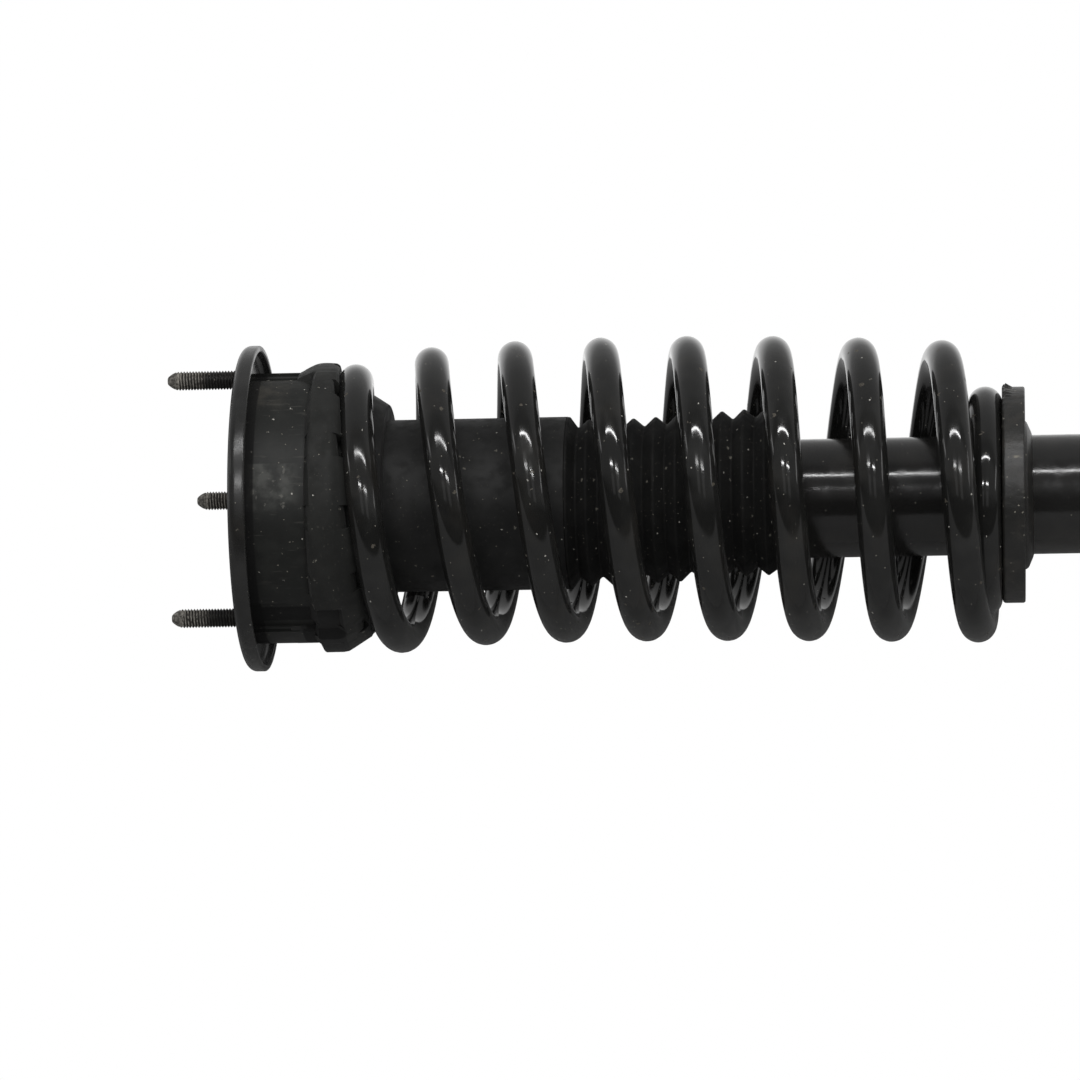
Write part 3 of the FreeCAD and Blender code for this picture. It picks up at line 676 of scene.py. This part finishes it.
def add_nut():
    """Hexagon nut with chamfered corners on both faces."""
    flat_r = NUT_ACROSS / 2 * 0.955
    slope = math.tan(math.radians(28))
    columns = []
    for j in range(NUT_SIDES):
        from_flat = (2 * math.pi * j / NUT_SIDES + math.pi / 6) % (math.pi / 3) - math.pi / 6
        outer = NUT_ACROSS / 2 / math.cos(from_flat)
        drop = max(outer - flat_r, 0.0) * slope
        profile = (
            (NUT_BORE_R, NUT_BOTTOM), (NUT_BORE_R + 0.6, NUT_TOP), (flat_r, NUT_TOP),
            (outer, NUT_TOP + drop), (outer, NUT_BOTTOM - drop), (flat_r, NUT_BOTTOM))
        columns.append([on_circle(radius, j, NUT_SIDES, depth) for radius, depth in profile])
    points = [point for row in zip(*columns) for point in row]
    return add_piece(
        "top_nut", points, quads(6, NUT_SIDES, wrap_rows=True), UPPER, "fastener_steel",
        ("rod_nut",), 20.0)


add_nut()
add_lathe("rod_shaft", [
    (0, NUT_BOTTOM), (5.4, NUT_BOTTOM), (5.4, 9.4), (SPIGOT_R, 10.0), (SPIGOT_R, ROD_SHOULDER),
    (ROD_R, ROD_SHOULDER, 0.6), (ROD_R, PISTON_SEAT, 0.6), (ROD_TAIL_R, PISTON_SEAT),
    (ROD_TAIL_R, ROD_END, 0.8), (0, ROD_END)], UPPER, "rod_chrome", ("piston_rod",), 72, 3)
add_threaded(
    "rod_thread", [(0.0, 0.0)],
    threaded_pin(
        SPIGOT_R, NUT_BOTTOM, SPIGOT_TOP, nose=1.2, nose_r=5.0, foot_r=5.4, foot=0.05, sides=48),
    UPPER, "fastener_steel")


# Rubber of the top mount

MOUNT_CORE_R = 10.0
MOUNT_WALL_R = 27.9
MOUNT_FOOT_R = 51.4
MOUNT_TOP, MOUNT_FOOT = 4.9, 22.6
CORE_PLATE_R = 32.05
CORE_PLATE_TOP, CORE_PLATE_BOTTOM = 15.25, 18.35


def bush_shift(x, y, depth):
    """Rubber that bulges a little between the core and the cup."""
    if 20.0 <= math.hypot(x, y) <= 28.5 and depth <= 14.0:
        depth += 0.25 * noise.noise(Vector((x * 0.12, y * 0.12, 2.0)))
    return x, y, depth


add_lathe("mount_rubber_ring", [
    (MOUNT_CORE_R, 11.8), (20.5, 11.8, 0.6), (22.5, 13.2, 1.2), (26.0, 12.6, 1.0),
    (MOUNT_WALL_R, 10.8, 1.2), (MOUNT_WALL_R, MOUNT_TOP, 0.8), (MOUNT_FOOT_R, MOUNT_TOP),
    (MOUNT_FOOT_R, MOUNT_FOOT), (MOUNT_CORE_R, MOUNT_FOOT), (MOUNT_CORE_R, CORE_PLATE_BOTTOM),
    (CORE_PLATE_R, CORE_PLATE_BOTTOM), (CORE_PLATE_R, CORE_PLATE_TOP),
    (MOUNT_CORE_R, CORE_PLATE_TOP)], UPPER, "mount_rubber", ("mount_bush",), 144, 4, bush_shift)


# Coil spring

HOUSING_DEPTH = 24.7
RAMP_START_ANGLE = 158.0
RAMP_TURNS = 0.96
RAMP_RISE = 3.8
RAMP_PITCH = 24.6
RAMP_END = HOUSING_DEPTH + RAMP_RISE + RAMP_PITCH * RAMP_TURNS
SEAT_DEPTH = 318.5
SEAT_TILT = 0.013             # the dish's lean, downwards on its +X side
SEAT_DROP = 0.6
WIRE_R = 7.2
COIL_D = 114.2
COIL_END_SHRINK = 3.6
COIL_PITCH = 35.2
COIL_TURNS = 8.88
COIL_BOW = 5.3
COIL_BOW_SKEW = 0.8
COIL_LEAD = 0.38
COIL_LEAD_SLOPE = 17.0
COIL_BLEND = 6.0
COIL_END_BLEND = 2.0
COIL_SETTLE = 2.2
COIL_FIRST_ANGLE = RAMP_START_ANGLE - 1.6
COIL_SEAT_GAP = 0.34
COIL_TOP = HOUSING_DEPTH + RAMP_RISE + WIRE_R + COIL_SEAT_GAP
COIL_BOTTOM = SEAT_DEPTH - WIRE_R - COIL_SEAT_GAP
PIGTAIL_D = 78.0
PIGTAIL_TURNS = 0.43
PIGTAIL_BLEND = 0.5
PIGTAIL_SHIFT = -1.2
PIGTAIL_SINK = 0.38
PIGTAIL_FLARE = 3.4
PIGTAIL_FLARE_TURNS = 0.42
FIRST_SHRINK = 1.2
FIRST_SHIFT = -2.8
WIRE_TURNS = COIL_TURNS + 0.05
FIRST_TURN_END = 1.04         # the wire above this stays on the isolator
PIGTAIL_START = 8.18          # the wire below this stays on the lower seat
RINGS_PER_TURN = 84
WIRE_SIDES = 36
END_CHAMFER = 1.0
BLEND_RINGS = 3               # rings of points along one blend piece
BLEND_KEEPS = (0.94, 0.88, 0.82, 0.76, 0.70, 0.64, 0.58, 0.53)


def coil_depth(turn):
    lead = COIL_TOP - COIL_SEAT_GAP + COIL_LEAD_SLOPE * turn
    middle = (COIL_TOP + COIL_BOTTOM) / 2 + COIL_PITCH * COIL_LEAD
    even = middle + COIL_PITCH * (turn - COIL_TURNS / 2)
    return soft_min(soft_max(lead, even, COIL_BLEND), COIL_BOTTOM, COIL_END_BLEND)


def pigtail_share(turn):
    return smooth_step((turn - (COIL_TURNS - PIGTAIL_TURNS - PIGTAIL_BLEND)) / PIGTAIL_BLEND)


def first_share(turn):
    """Share of the first coil's offset, as the mount is cocked on its rubber."""
    return 1.0 - smooth_step((turn - 0.9) / 0.6)


def coil_radius(turn):
    share = 2 * turn / COIL_TURNS - 1
    radius = COIL_D / 2 - COIL_END_SHRINK / 2 * share ** 2 - FIRST_SHRINK * first_share(turn)
    flare = PIGTAIL_FLARE * smooth_step(
        (turn - COIL_TURNS + PIGTAIL_FLARE_TURNS) / PIGTAIL_FLARE_TURNS)
    return radius + (PIGTAIL_D / 2 - radius) * pigtail_share(turn) + flare


def coil_point(turn):
    """Centre of the wire at a turn counted from its upper end."""
    share = (turn / COIL_TURNS) ** COIL_BOW_SKEW
    bow = (COIL_BOW * math.sin(math.pi * share) + PIGTAIL_SHIFT * pigtail_share(turn)
           + FIRST_SHIFT * first_share(turn))
    slope = COIL_BOW * math.pi / (COIL_BOTTOM - COIL_TOP) * math.cos(math.pi * share)
    settle = smooth_step(turn / COIL_SETTLE) * smooth_step((COIL_TURNS - turn) / COIL_SETTLE)
    lean = math.atan(slope) * settle
    angle = math.radians(COIL_FIRST_ANGLE) - 2 * math.pi * turn
    across, along, _ = polar(coil_radius(turn), angle, 0.0)
    on_seat = smooth_step((turn - COIL_TURNS + 1.6) / 0.9)
    tilt = (SEAT_DROP + PIGTAIL_SINK + SEAT_TILT * across) * on_seat
    return (
        bow + across * math.cos(lean), along, coil_depth(turn) - across * math.sin(lean) + tilt)


def squash_wire(piece):
    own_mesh(piece)


def add_blends(side, body, rings, centres, here, step):
    """Adds the blends from the ring here on; returns the last ring and the height given up."""
    given = 0.0
    for i, keep in enumerate(BLEND_KEEPS):
        first, last = sorted((here, here + step))
        blend = add_bar(
            f"spring_{side}_blend_{i + 1}", rings[first:last + 1], body, "spring_paint")
        squash_wire(blend)
        given += (centres[last][2] - centres[first][2]) * (1 - keep)
        here += step
    return here, given


def add_coil():
    """The wire in pieces: the turn on the isolator, the working coils and the pigtail.

    The end turns ride whole on the upper and lower bodies. Between them and the working coils
    stand short blend pieces, each from where its neighbour ends.
    """
    count = int(WIRE_TURNS * RINGS_PER_TURN)
    ring_length = math.pi * COIL_D / RINGS_PER_TURN
    centres, radii = [], []
    for i in range(count + 1):
        edge = min(min(i, count - i) * ring_length / END_CHAMFER, 1.0)
        radii.append(WIRE_R * (0.93 + 0.07 * math.sqrt(edge)))
        centres.append(coil_point(WIRE_TURNS * i / count))
    rings = bar_rings(centres, radii, WIRE_SIDES)
    upper = round(FIRST_TURN_END * count / WIRE_TURNS)
    lower = round(PIGTAIL_START * count / WIRE_TURNS)
    add_bar("spring_first_turn", rings[:upper + 1], UPPER, "spring_paint")
    add_bar("spring_pigtail", rings[lower:], LOWER, "spring_paint")

    upper, risen = add_blends("upper", UPPER, rings, centres, upper, BLEND_RINGS)
    lower, sunk = add_blends("lower", LOWER, rings, centres, lower, -BLEND_RINGS)
    working = add_bar(
        "spring_wire", rings[upper:lower + 1], UPPER, "spring_paint", ("coil_spring",))
    squash_wire(working)


add_coil()


# Isolator, moulded round the first coil, and the housing's tab over it

HOUSING_R = 57.2
ISOLATOR_R = 61.3
ISOLATOR_TOP_R = 57.5
ISOLATOR_BORE_R = 44.0
ISOLATOR_NOSE_R = 55.0
ISOLATOR_FLARE = 7.0
ISOLATOR_LEDGE_R = 49.0
TAPER_START = 17.0
SLOT_COUNT = 12
SLOT_WIDTH = 9.6
SLOT_SINK = 1.3
SLOT_REACH = 9.5
SLOT_TURN = -2.6
TAB_START, TAB_END = -244.0, -22.0
TAB_DROP = 6.4
TAB_TOP = 21.0
TAB_WALL = 0.5
TAB_CORNER = 4.0
FLUTE_ANGLE = -144.7
FLUTE_FLOOR = 53.7
FLUTE_HALF = 10.5
FLUTE_EDGE = 0.4              # degrees in which its floor rises to the wall
STEP_TUCK = 0.5               # inside the wall, above the tab's edge
STEP_R = 60.7
STEP_HEIGHT = 1.3
RECESS_R = 57.3
RECESS_HALF = 8.0
RECESS_END = 17.5


def from_flute(angle):
    return abs((angle - FLUTE_ANGLE + 180.0) % 360.0 - 180.0)


def housing_radius(angle):
    """Outer radius of the housing's wall where the tab is, with the flute that crosses it."""
    away = from_flute(angle)
    floor = FLUTE_FLOOR / math.cos(math.radians(min(away, FLUTE_HALF)))
    return floor + (HOUSING_R - floor) * smooth_step((away - FLUTE_HALF + 0.1) / FLUTE_EDGE)


def under_tab(angle):
    """1 under the housing's tab, 0 past its ends."""
    turned = (angle - TAB_START) % 360.0
    inside = min(turned, TAB_END - TAB_START - turned)
    return smooth_step((inside + 1.6) / 2.4)


def isolator_radius(depth, angle):
    """Outer radius: flare, straight band and taper, or a step below the tab with its recess."""
    below = depth - HOUSING_DEPTH
    flare = ISOLATOR_TOP_R + (ISOLATOR_R - ISOLATOR_TOP_R) * below / ISOLATOR_FLARE
    taper = ISOLATOR_R + (ISOLATOR_NOSE_R - ISOLATOR_R) * (below - TAPER_START) / (
        RAMP_END - HOUSING_DEPTH - TAPER_START)
    free = soft_min(soft_min(flare, ISOLATOR_R, 1.0), taper, 1.5) if below > 0.5 else flare
    start = housing_radius(angle) - STEP_TUCK
    step = smooth_step((below - TAB_DROP) / STEP_HEIGHT)
    lean = max(below - TAB_DROP - STEP_HEIGHT, 0.0)
    held = min(start + (STEP_R - start) * step + lean, ISOLATOR_R, taper)
    dip = 1.0 - smooth_step((from_flute(angle) - RECESS_HALF) / 2.0)
    dip *= 1.0 - smooth_step((below - RECESS_END) / 1.5)
    held += (min(held, RECESS_R) - held) * dip
    return free + (held - free) * under_tab(angle)


def isolator_section(turn, slots, half):
    """One radial section: (radius, depth) round the rubber."""
    angle = RAMP_START_ANGLE - turn
    on_ramp = min(turn, 360.0 * RAMP_TURNS)
    wire_top = coil_point(max(on_ramp - 1.6, 0.0) / 360.0)[2] - WIRE_R - 0.15
    bottom = soft_min(wire_top, RAMP_END, 1.0)
    in_slot = any(abs(turn - slot) < half for slot in slots)
    edge = max(bottom + (0.9 if not in_slot else -SLOT_SINK), HOUSING_DEPTH + 0.6)
    line = []
    for share in (
            0, 0.03, 0.1, 0.18, 0.26, 0.32, 0.38, 0.44, 0.5, 0.58, 0.66, 0.74, 0.82, 0.9, 0.96):
        depth = HOUSING_DEPTH + share * (edge - 1.6 - HOUSING_DEPTH)
        line.append((isolator_radius(depth, angle), depth))
    corner = isolator_radius(edge, angle)
    inner = ISOLATOR_R - SLOT_REACH
    line += [
        (isolator_radius(edge - 1.4, angle), edge - 1.4), (corner - 0.15, edge - 0.8),
        (corner - 0.6, edge - 0.25), (corner - 1.4, edge), (inner + 0.3, min(edge, bottom)),
        (inner, min(edge, bottom) + 0.02), (inner, bottom - 0.2), (inner - 0.3, bottom),
        (ISOLATOR_LEDGE_R, bottom), (ISOLATOR_BORE_R + 0.5, bottom),
        (ISOLATOR_BORE_R, bottom - 0.5), (ISOLATOR_BORE_R, HOUSING_DEPTH)]
    return line


def add_isolator():
    slots = [(i + 0.5) * 360.0 / SLOT_COUNT + SLOT_TURN for i in range(SLOT_COUNT - 1)]
    half = math.degrees(SLOT_WIDTH / 2 / (ISOLATOR_R - SLOT_REACH / 2))
    turns = [i * 0.75 for i in range(480)] + [359.96]
    for edge in [slot + side for slot in slots for side in (-half, half)]:
        turns += [edge - 0.04, edge + 0.04]
    points = []
    for turn in sorted(turns):
        a = math.radians(RAMP_START_ANGLE - turn)
        section = isolator_section(turn, slots, half)
        for k, (r, d) in enumerate(section):
            spot = Vector([0.09 * c for c in polar(r, a, d)])
            if 2 < k < len(section) - 1:
                r += 0.22 * noise.noise(spot) + 0.06 * noise.noise(spot * 5.0)
            points.append(polar(r, a, d))
    return add_piece(
        "isolator_moulding", points, quads(len(turns), len(section), wrap_rows=True), UPPER,
        "isolator_rubber", ("spring_isolator",), 38.0)


def add_tab():
    """Tab of the housing's wall, pressed over the isolator's top, with round corners."""
    columns = 11
    low_edge = HOUSING_DEPTH + TAB_DROP
    angles = list(np.linspace(TAB_START, TAB_END, 180))
    angles += [FLUTE_ANGLE + side * (FLUTE_HALF + d)
               for side in (-1, 1) for d in (-0.2, -0.1, 0.0, 0.1, 0.2, 0.3, 0.4)]
    points = []
    for outside in (True, False):
        for turned in sorted(angles):
            angle = math.radians(turned)
            from_end = math.radians(min(turned - TAB_START, TAB_END - turned)) * HOUSING_R
            in_corner = min(max(TAB_CORNER - from_end, 0.0), TAB_CORNER)
            cut = TAB_CORNER - math.sqrt(TAB_CORNER ** 2 - in_corner ** 2)
            for k in range(columns):
                drop = k / (columns - 1)
                depth = TAB_TOP + (low_edge - cut - TAB_TOP) * drop
                edge = max((drop - 0.85) / 0.15, 0.0)
                radius = housing_radius(turned) + (
                    0.06 - 0.35 * edge ** 2 if outside else -TAB_WALL)
                points.append(polar(radius, angle, depth))
    size = len(angles) * columns
    sheet = quads(len(angles), columns, wrap_columns=False)
    faces = sheet + [tuple(v + size for v in face) for face in sheet]
    for i in range(len(angles) - 1):
        for edge in (i * columns, (i + 1) * columns - 1):
            faces.append((edge, edge + columns, edge + columns + size, edge + size))
    for k in range(columns - 1):
        for edge in (k, size - columns + k):
            faces.append((edge, edge + 1, edge + 1 + size, edge + size))
    return add_piece("housing_tab", points, faces, UPPER, "housing_paint")


add_isolator()
add_tab()


# Dust boot

SLEEVE_R = 36.4
SLEEVE_INNER_R = 34.4
SLEEVE_TOP_R = 41.2
SLEEVE_TOP, SLEEVE_SHOULDER = 57.0, 59.0
SLEEVE_END = 136.8
CUFF_R = 34.3
PLEAT_PITCH = 9.33
PLEAT_COUNT = 9
PLEAT_WALL = 1.7
CREST_R = 35.15
VALLEY_R = 31.35
FIRST_CREST = SLEEVE_END + 9.3
LAST_CREST = FIRST_CREST + (PLEAT_COUNT - 1) * PLEAT_PITCH
BELLOWS_END = LAST_CREST + 7.2
LIP_R = 25.4
SAG = 3.1

add_lathe("retainer_cup", [
    (41.5, 25.2), (43.6, 25.2, 0.4), (43.6, 52.3, 0.6), (47.0, 53.7, 0.5), (47.0, 55.1, 0.5),
    (42.8, 61.5, 0.8), (36.5, 61.5), (36.5, SLEEVE_SHOULDER), (41.5, SLEEVE_SHOULDER)],
    UPPER, "boot_rubber", ("boot_retainer",), 200)
add_lathe("boot_sleeve", [
    (SLEEVE_INNER_R, SLEEVE_TOP, 0.8), (SLEEVE_TOP_R, SLEEVE_TOP, 0.4),
    (SLEEVE_TOP_R, SLEEVE_SHOULDER, 0.4), (SLEEVE_R, SLEEVE_SHOULDER), (SLEEVE_R, 97.0),
    (SLEEVE_R, SLEEVE_END), (SLEEVE_INNER_R, SLEEVE_END)],
    UPPER, "boot_rubber", ("dust_sleeve",), 200)


def boot_shift(x, y, depth):
    """The free pleats sit off the axis, and come back to it at the lip on the tube."""
    lean = smooth_step((depth - FIRST_CREST - 10.0) / (LAST_CREST - FIRST_CREST - 10.0))
    back = 1.0 - smooth_step((depth - LAST_CREST - 1.0) / 5.5)
    return x + SAG * lean * back, y, depth


def bellows_corners():
    half = PLEAT_PITCH / 2
    corners = [
        (CUFF_R - 2.2, SLEEVE_END - 10.0), (CUFF_R, SLEEVE_END - 10.0), (CUFF_R, SLEEVE_END),
        (SLEEVE_R, SLEEVE_END, 0.5), (SLEEVE_R - 0.2, SLEEVE_END + 1.2, 0.6),
        (VALLEY_R, FIRST_CREST - half, 1.0)]
    for i in range(PLEAT_COUNT):
        crest = FIRST_CREST + i * PLEAT_PITCH
        swell = 0.35 * math.sin(i * 1.9)
        corners.append((CREST_R + 0.25 + swell * 0.4, crest, 1.1))
        if i < PLEAT_COUNT - 1:
            corners.append((VALLEY_R - 0.1 + swell * 0.3, crest + half, 0.9))
    corners += [
        (27.0, BELLOWS_END, 0.6), (LIP_R, BELLOWS_END, 0.3), (LIP_R, BELLOWS_END - 1.5, 0.3)]
    for i in range(PLEAT_COUNT - 1, -1, -1):
        crest = FIRST_CREST + i * PLEAT_PITCH
        corners += [(CREST_R - PLEAT_WALL, crest, 0.8), (VALLEY_R - PLEAT_WALL, crest - half, 0.8)]
    corners.append((CUFF_R - 2.2, SLEEVE_END - 1.0))
    return corners


bellows = add_lathe(
    "boot_pleats", bellows_corners(), UPPER, "boot_rubber", ("dust_bellows",), 176, 5, boot_shift,
    50.0)
bellows.data.materials[0] = finishes["pleat_rubber"]
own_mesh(bellows)


# Bump stop

STOP_BORE_R = 9.2
STOP_TOP, STOP_END = 28.3, 106.3

stop = add_lathe("foam_stop", [
    (STOP_BORE_R, STOP_TOP), (25.3, STOP_TOP, 1.0), (25.3, 45.2, 3.5), (16.5, 54.3, 2.0),
    (21.0, 67.3, 4.0), (14.5, 80.3, 2.0), (18.0, 93.3, 4.0), (13.0, STOP_END, 2.0),
    (STOP_BORE_R, STOP_END)], UPPER, "stop_foam", ("bump_stop",), 96, 6)
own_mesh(stop)


# Lower seat, its welds and the eye

DISH_R = 45.3
DISH_INNER_R = 42.3
DISH_BORE_R = 25.0
DISH_T = 3.0
DISH_HEIGHT = 9.6
CONE_BORE_R = 25.02
CONE_R = 31.4
CONE_TOP, CONE_END = 321.6, 332.0
EYE_DEPTH = 469.2
EYE_HALF = 16.0               # half the eye rubber's length
BEAD_SIDES = 12
RIPPLE = 1.5
STEPS_PER_RIPPLE = 4


def seat_shift(x, y, depth):
    """Rough flash left by the press on one side of the dish's edge, and a slightly uneven rim."""
    radius = math.hypot(x, y)
    depth += SEAT_DROP + SEAT_TILT * x
    if radius < 40.0:
        return x, y, depth
    angle = math.degrees(math.atan2(y, x))
    spot = Vector((x * 0.35, y * 0.35, depth * 0.35))
    lift = 0.18 * noise.noise(spot)
    if depth < SEAT_DEPTH + 5.4:
        here = smooth_step(1.0 - abs(angle + 8.0) / 34.0)
        lift += here * (0.95 + 1.5 * noise.noise(spot * 3.0))
    share = 1.0 + lift / radius
    return x * share, y * share, depth


def about_eye(x, y, along):
    """Lays a lathed ring about the lower eye's cross axis."""
    return x, along, EYE_DEPTH + y


def add_bead(name, radius, depth, size, body, slot, seed):
    """Weld bead round the tube, rippled like a run of small pools."""
    count = int(2 * math.pi * radius / RIPPLE) * STEPS_PER_RIPPLE
    points = []
    for i in range(count):
        a = 2 * math.pi * i / count
        wave = 0.5 + 0.5 * math.cos(i * math.pi / 2)
        wander = noise.noise(Vector((math.cos(a) * 3, math.sin(a) * 3, seed)))
        r = size * (0.82 + 0.14 * wave + 0.16 * wander)
        for j in range(BEAD_SIDES):
            across, up, _ = on_circle(r, j, BEAD_SIDES, 0.0)
            points.append(on_circle(radius + across, i, count, depth + up))
    return add_piece(
        name, points, quads(count, BEAD_SIDES, wrap_rows=True), body, slot, (), 60.0)


add_lathe("spring_dish", [
    (DISH_BORE_R, SEAT_DEPTH), (42.0, SEAT_DEPTH), (DISH_R, SEAT_DEPTH, 1.9),
    (DISH_R, SEAT_DEPTH + 4.4), (DISH_R, SEAT_DEPTH + DISH_HEIGHT, 1.0),
    (DISH_INNER_R, SEAT_DEPTH + DISH_HEIGHT, 0.5), (DISH_INNER_R, SEAT_DEPTH + DISH_T, 1.2),
    (DISH_BORE_R, SEAT_DEPTH + DISH_T)], LOWER, "seat_paint", ("lower_spring_seat",), 288, 6,
    seat_shift, 50.0)
add_lathe("seat_cone", [
    (CONE_BORE_R, CONE_TOP), (CONE_R, CONE_TOP), (CONE_R, 329.4, 2.4), (26.4, 331.6, 1.2),
    (CONE_BORE_R, CONE_END)], LOWER, "seat_paint", ("seat_gusset",), 200, 6)
add_bead("seat_weld", 25.2, SEAT_DEPTH - 0.1, 1.4, LOWER, "tube_paint", 1.0)
add_bead("base_weld", 24.2, 447.2, 1.6, LOWER, "tube_paint", 7.0)
add_lathe("eye_rubber", [
    (9.06, -EYE_HALF), (11.0, -EYE_HALF, 0.6), (12.2, -14.6, 1.0), (14.6, -14.6, 1.0),
    (15.6, -EYE_HALF, 0.5), (16.48, -15.6, 0.3), (16.48, 15.6, 0.3), (15.6, EYE_HALF, 0.5),
    (14.6, 14.6, 1.0), (12.2, 14.6, 1.0), (11.0, EYE_HALF, 0.6), (9.06, EYE_HALF)],
    LOWER, "mount_rubber", ("eye_bush",), 96, 4, about_eye)


# Floor and card

FLOOR_R = 1.6                 # metres
FLOOR_SIDES = 96
FLOOR_GAP = 0.0003            # metres under the part's lowest point
CARD_CORNERS = (
    (-0.026, 0.078, 0.3), (-0.026, 0.078, -0.8), (-0.7, 0.078, -0.8), (-0.7, 0.078, 0.3))


def plain_material(name, colour, rough):
    s = Surface(name, colour, rough, specular=0.0)
    s.mix_colour(s.cloud((300.0, 2.0), 0.3, 0.8, 0.0, 0.3), scaled(colour, 0.985))
    return s.done()


def add_sheet(name, corners, material):
    """A flat face with corners in metres."""
    mesh = bpy.data.meshes.new(name)
    mesh.from_pydata(corners, [], [tuple(range(len(corners)))])
    mesh.materials.append(material)
    sheet = new_object(name, mesh)
    sheet.visible_shadow = False
    return sheet


def add_floor():
    ring = [on_circle(FLOOR_R, i, FLOOR_SIDES, 0.0) for i in range(FLOOR_SIDES)]
    floor = add_sheet("floor", ring, plain_material("floor_paint", (0.86, 0.86, 0.85), 0.8))
    floor.location = (AXIS_X * MM, 0.0, cad_low.z - FLOOR_GAP)
    floor.visible_glossy = False


def add_dark_card():
    """Card behind the strut's lower half that only mirrored light meets: painted shade, standing
    in for the strut's shadow in reflections.
    """
    card = add_sheet("dark_card", CARD_CORNERS, plain_material("dark_card_paint", grey(0.20), 0.9))
    card.visible_camera = False
    card.visible_diffuse = False
    card.visible_transmission = False


add_floor()
add_dark_card()


# Light

AMBIENT = 0.62
# Brightness of the room that gloss mirrors, at degrees above the camera's direction
ROOM_STOPS = (
    (-180, 0.28), (-150, 0.22), (-90, 0.24), (-36, 0.32), (-34, 0.02), (-8, 0.02), (2, 0.12),
    (10, 0.24), (44, 0.28), (50, 0.14), (62, 0.16), (76, 0.34), (112, 0.40), (142, 0.5),
    (158, 0.85), (180, 1.0))
# Name, degrees above and across the camera's direction, distance, width and height in metres,
# glow, and whether gloss mirrors the lamp
LAMPS = (
    ("strip_lamp", 45, 0, 1.9, 2.3, 0.07, 33.0, True),
    ("spot_left", 18, -16, 2.6, 0.75, 0.05, 55.0, True),
    ("spot_right", 17, 16, 2.6, 0.75, 0.05, 55.0, True),
    ("stand_left", 3, -15, 2.7, 0.70, 0.7, 0.30, True),
    ("stand_right", 3, 15, 2.7, 0.70, 0.7, 0.30, True),
    ("side_left", 17, -84, 2.6, 0.22, 0.62, 2.0, True),
    ("side_right", 14, 76, 2.6, 0.20, 0.75, 2.6, True),
    ("fill_above", 100, 0, 1.6, 1.2, 0.9, 1.1, False),
    ("fill_behind", 160, 25, 2.2, 1.0, 0.5, 1.4, False),
)
strut_middle = Vector((AXIS_X, 0.0, -180.0)) * MM


def add_world():
    """White backdrop; what the gloss sees is a dim room towards the camera and a pale table."""
    world = bpy.data.worlds.new("studio")
    world.use_nodes = True
    tree = world.node_tree
    tree.nodes.clear()
    coords = tree.nodes.new("ShaderNodeTexCoord").outputs["Generated"]

    def along(direction):
        made = tree.nodes.new("ShaderNodeVectorMath")
        made.operation = "DOT_PRODUCT"
        return fill(tree, made, {0: coords, 1: direction})["Value"]

    angle = math_node(tree, "ARCTAN2", along(-picture_down), along(-picture_away))
    turn = math_node(tree, "DIVIDE", angle, 2 * math.pi)
    ramp = tree.nodes.new("ShaderNodeValToRGB")
    room = fill(tree, ramp, {0: math_node(tree, "ADD", turn, 0.5)})["Color"]
    elements = ramp.color_ramp.elements
    for degrees, _ in ROOM_STOPS[1:-1]:
        elements.new((degrees + 180.0) / 360.0)
    for element, (_, value) in zip(elements, ROOM_STOPS):
        element.color = (*grey(value), 1.0)
    rays = tree.nodes.new("ShaderNodeLightPath").outputs
    seen = mix_node(tree, "RGBA", rays["Is Glossy Ray"], (*grey(AMBIENT), 1.0), room)
    direct = math_node(tree, "MAXIMUM", rays["Is Camera Ray"], rays["Is Transmission Ray"])
    shown = mix_node(tree, "RGBA", direct, seen, (1.0, 1.0, 1.0, 1.0))
    background = fill(tree, tree.nodes.new("ShaderNodeBackground"), {"Color": shown})[0]
    fill(tree, tree.nodes.new("ShaderNodeOutputWorld"), {"Surface": background})
    bpy.context.scene.world = world


def add_lamp(name, above, across, distance, width, height, glow, mirrored):
    """Area lamp aimed at the strut."""
    up, side = math.radians(above), math.radians(across)
    towards = (
        -picture_away * math.cos(up) * math.cos(side) - picture_down * math.sin(up)
        + picture_right * math.cos(up) * math.sin(side))
    data = bpy.data.lights.new(name, "AREA")
    data.shape = "RECTANGLE"
    data.size = width
    data.size_y = height
    data.energy = glow * math.pi * width * height
    back = towards.normalized()
    sideways = (picture_right - back * picture_right.dot(back)).normalized()
    lamp = new_object(name, data)
    lamp.matrix_world = placed(
        strut_middle + back * distance, sideways, back.cross(sideways), back)
    lamp.visible_glossy = mirrored


add_world()
for lamp_settings in LAMPS:
    add_lamp(*lamp_settings)

bpy.context.scene.view_settings.view_transform = "Standard"
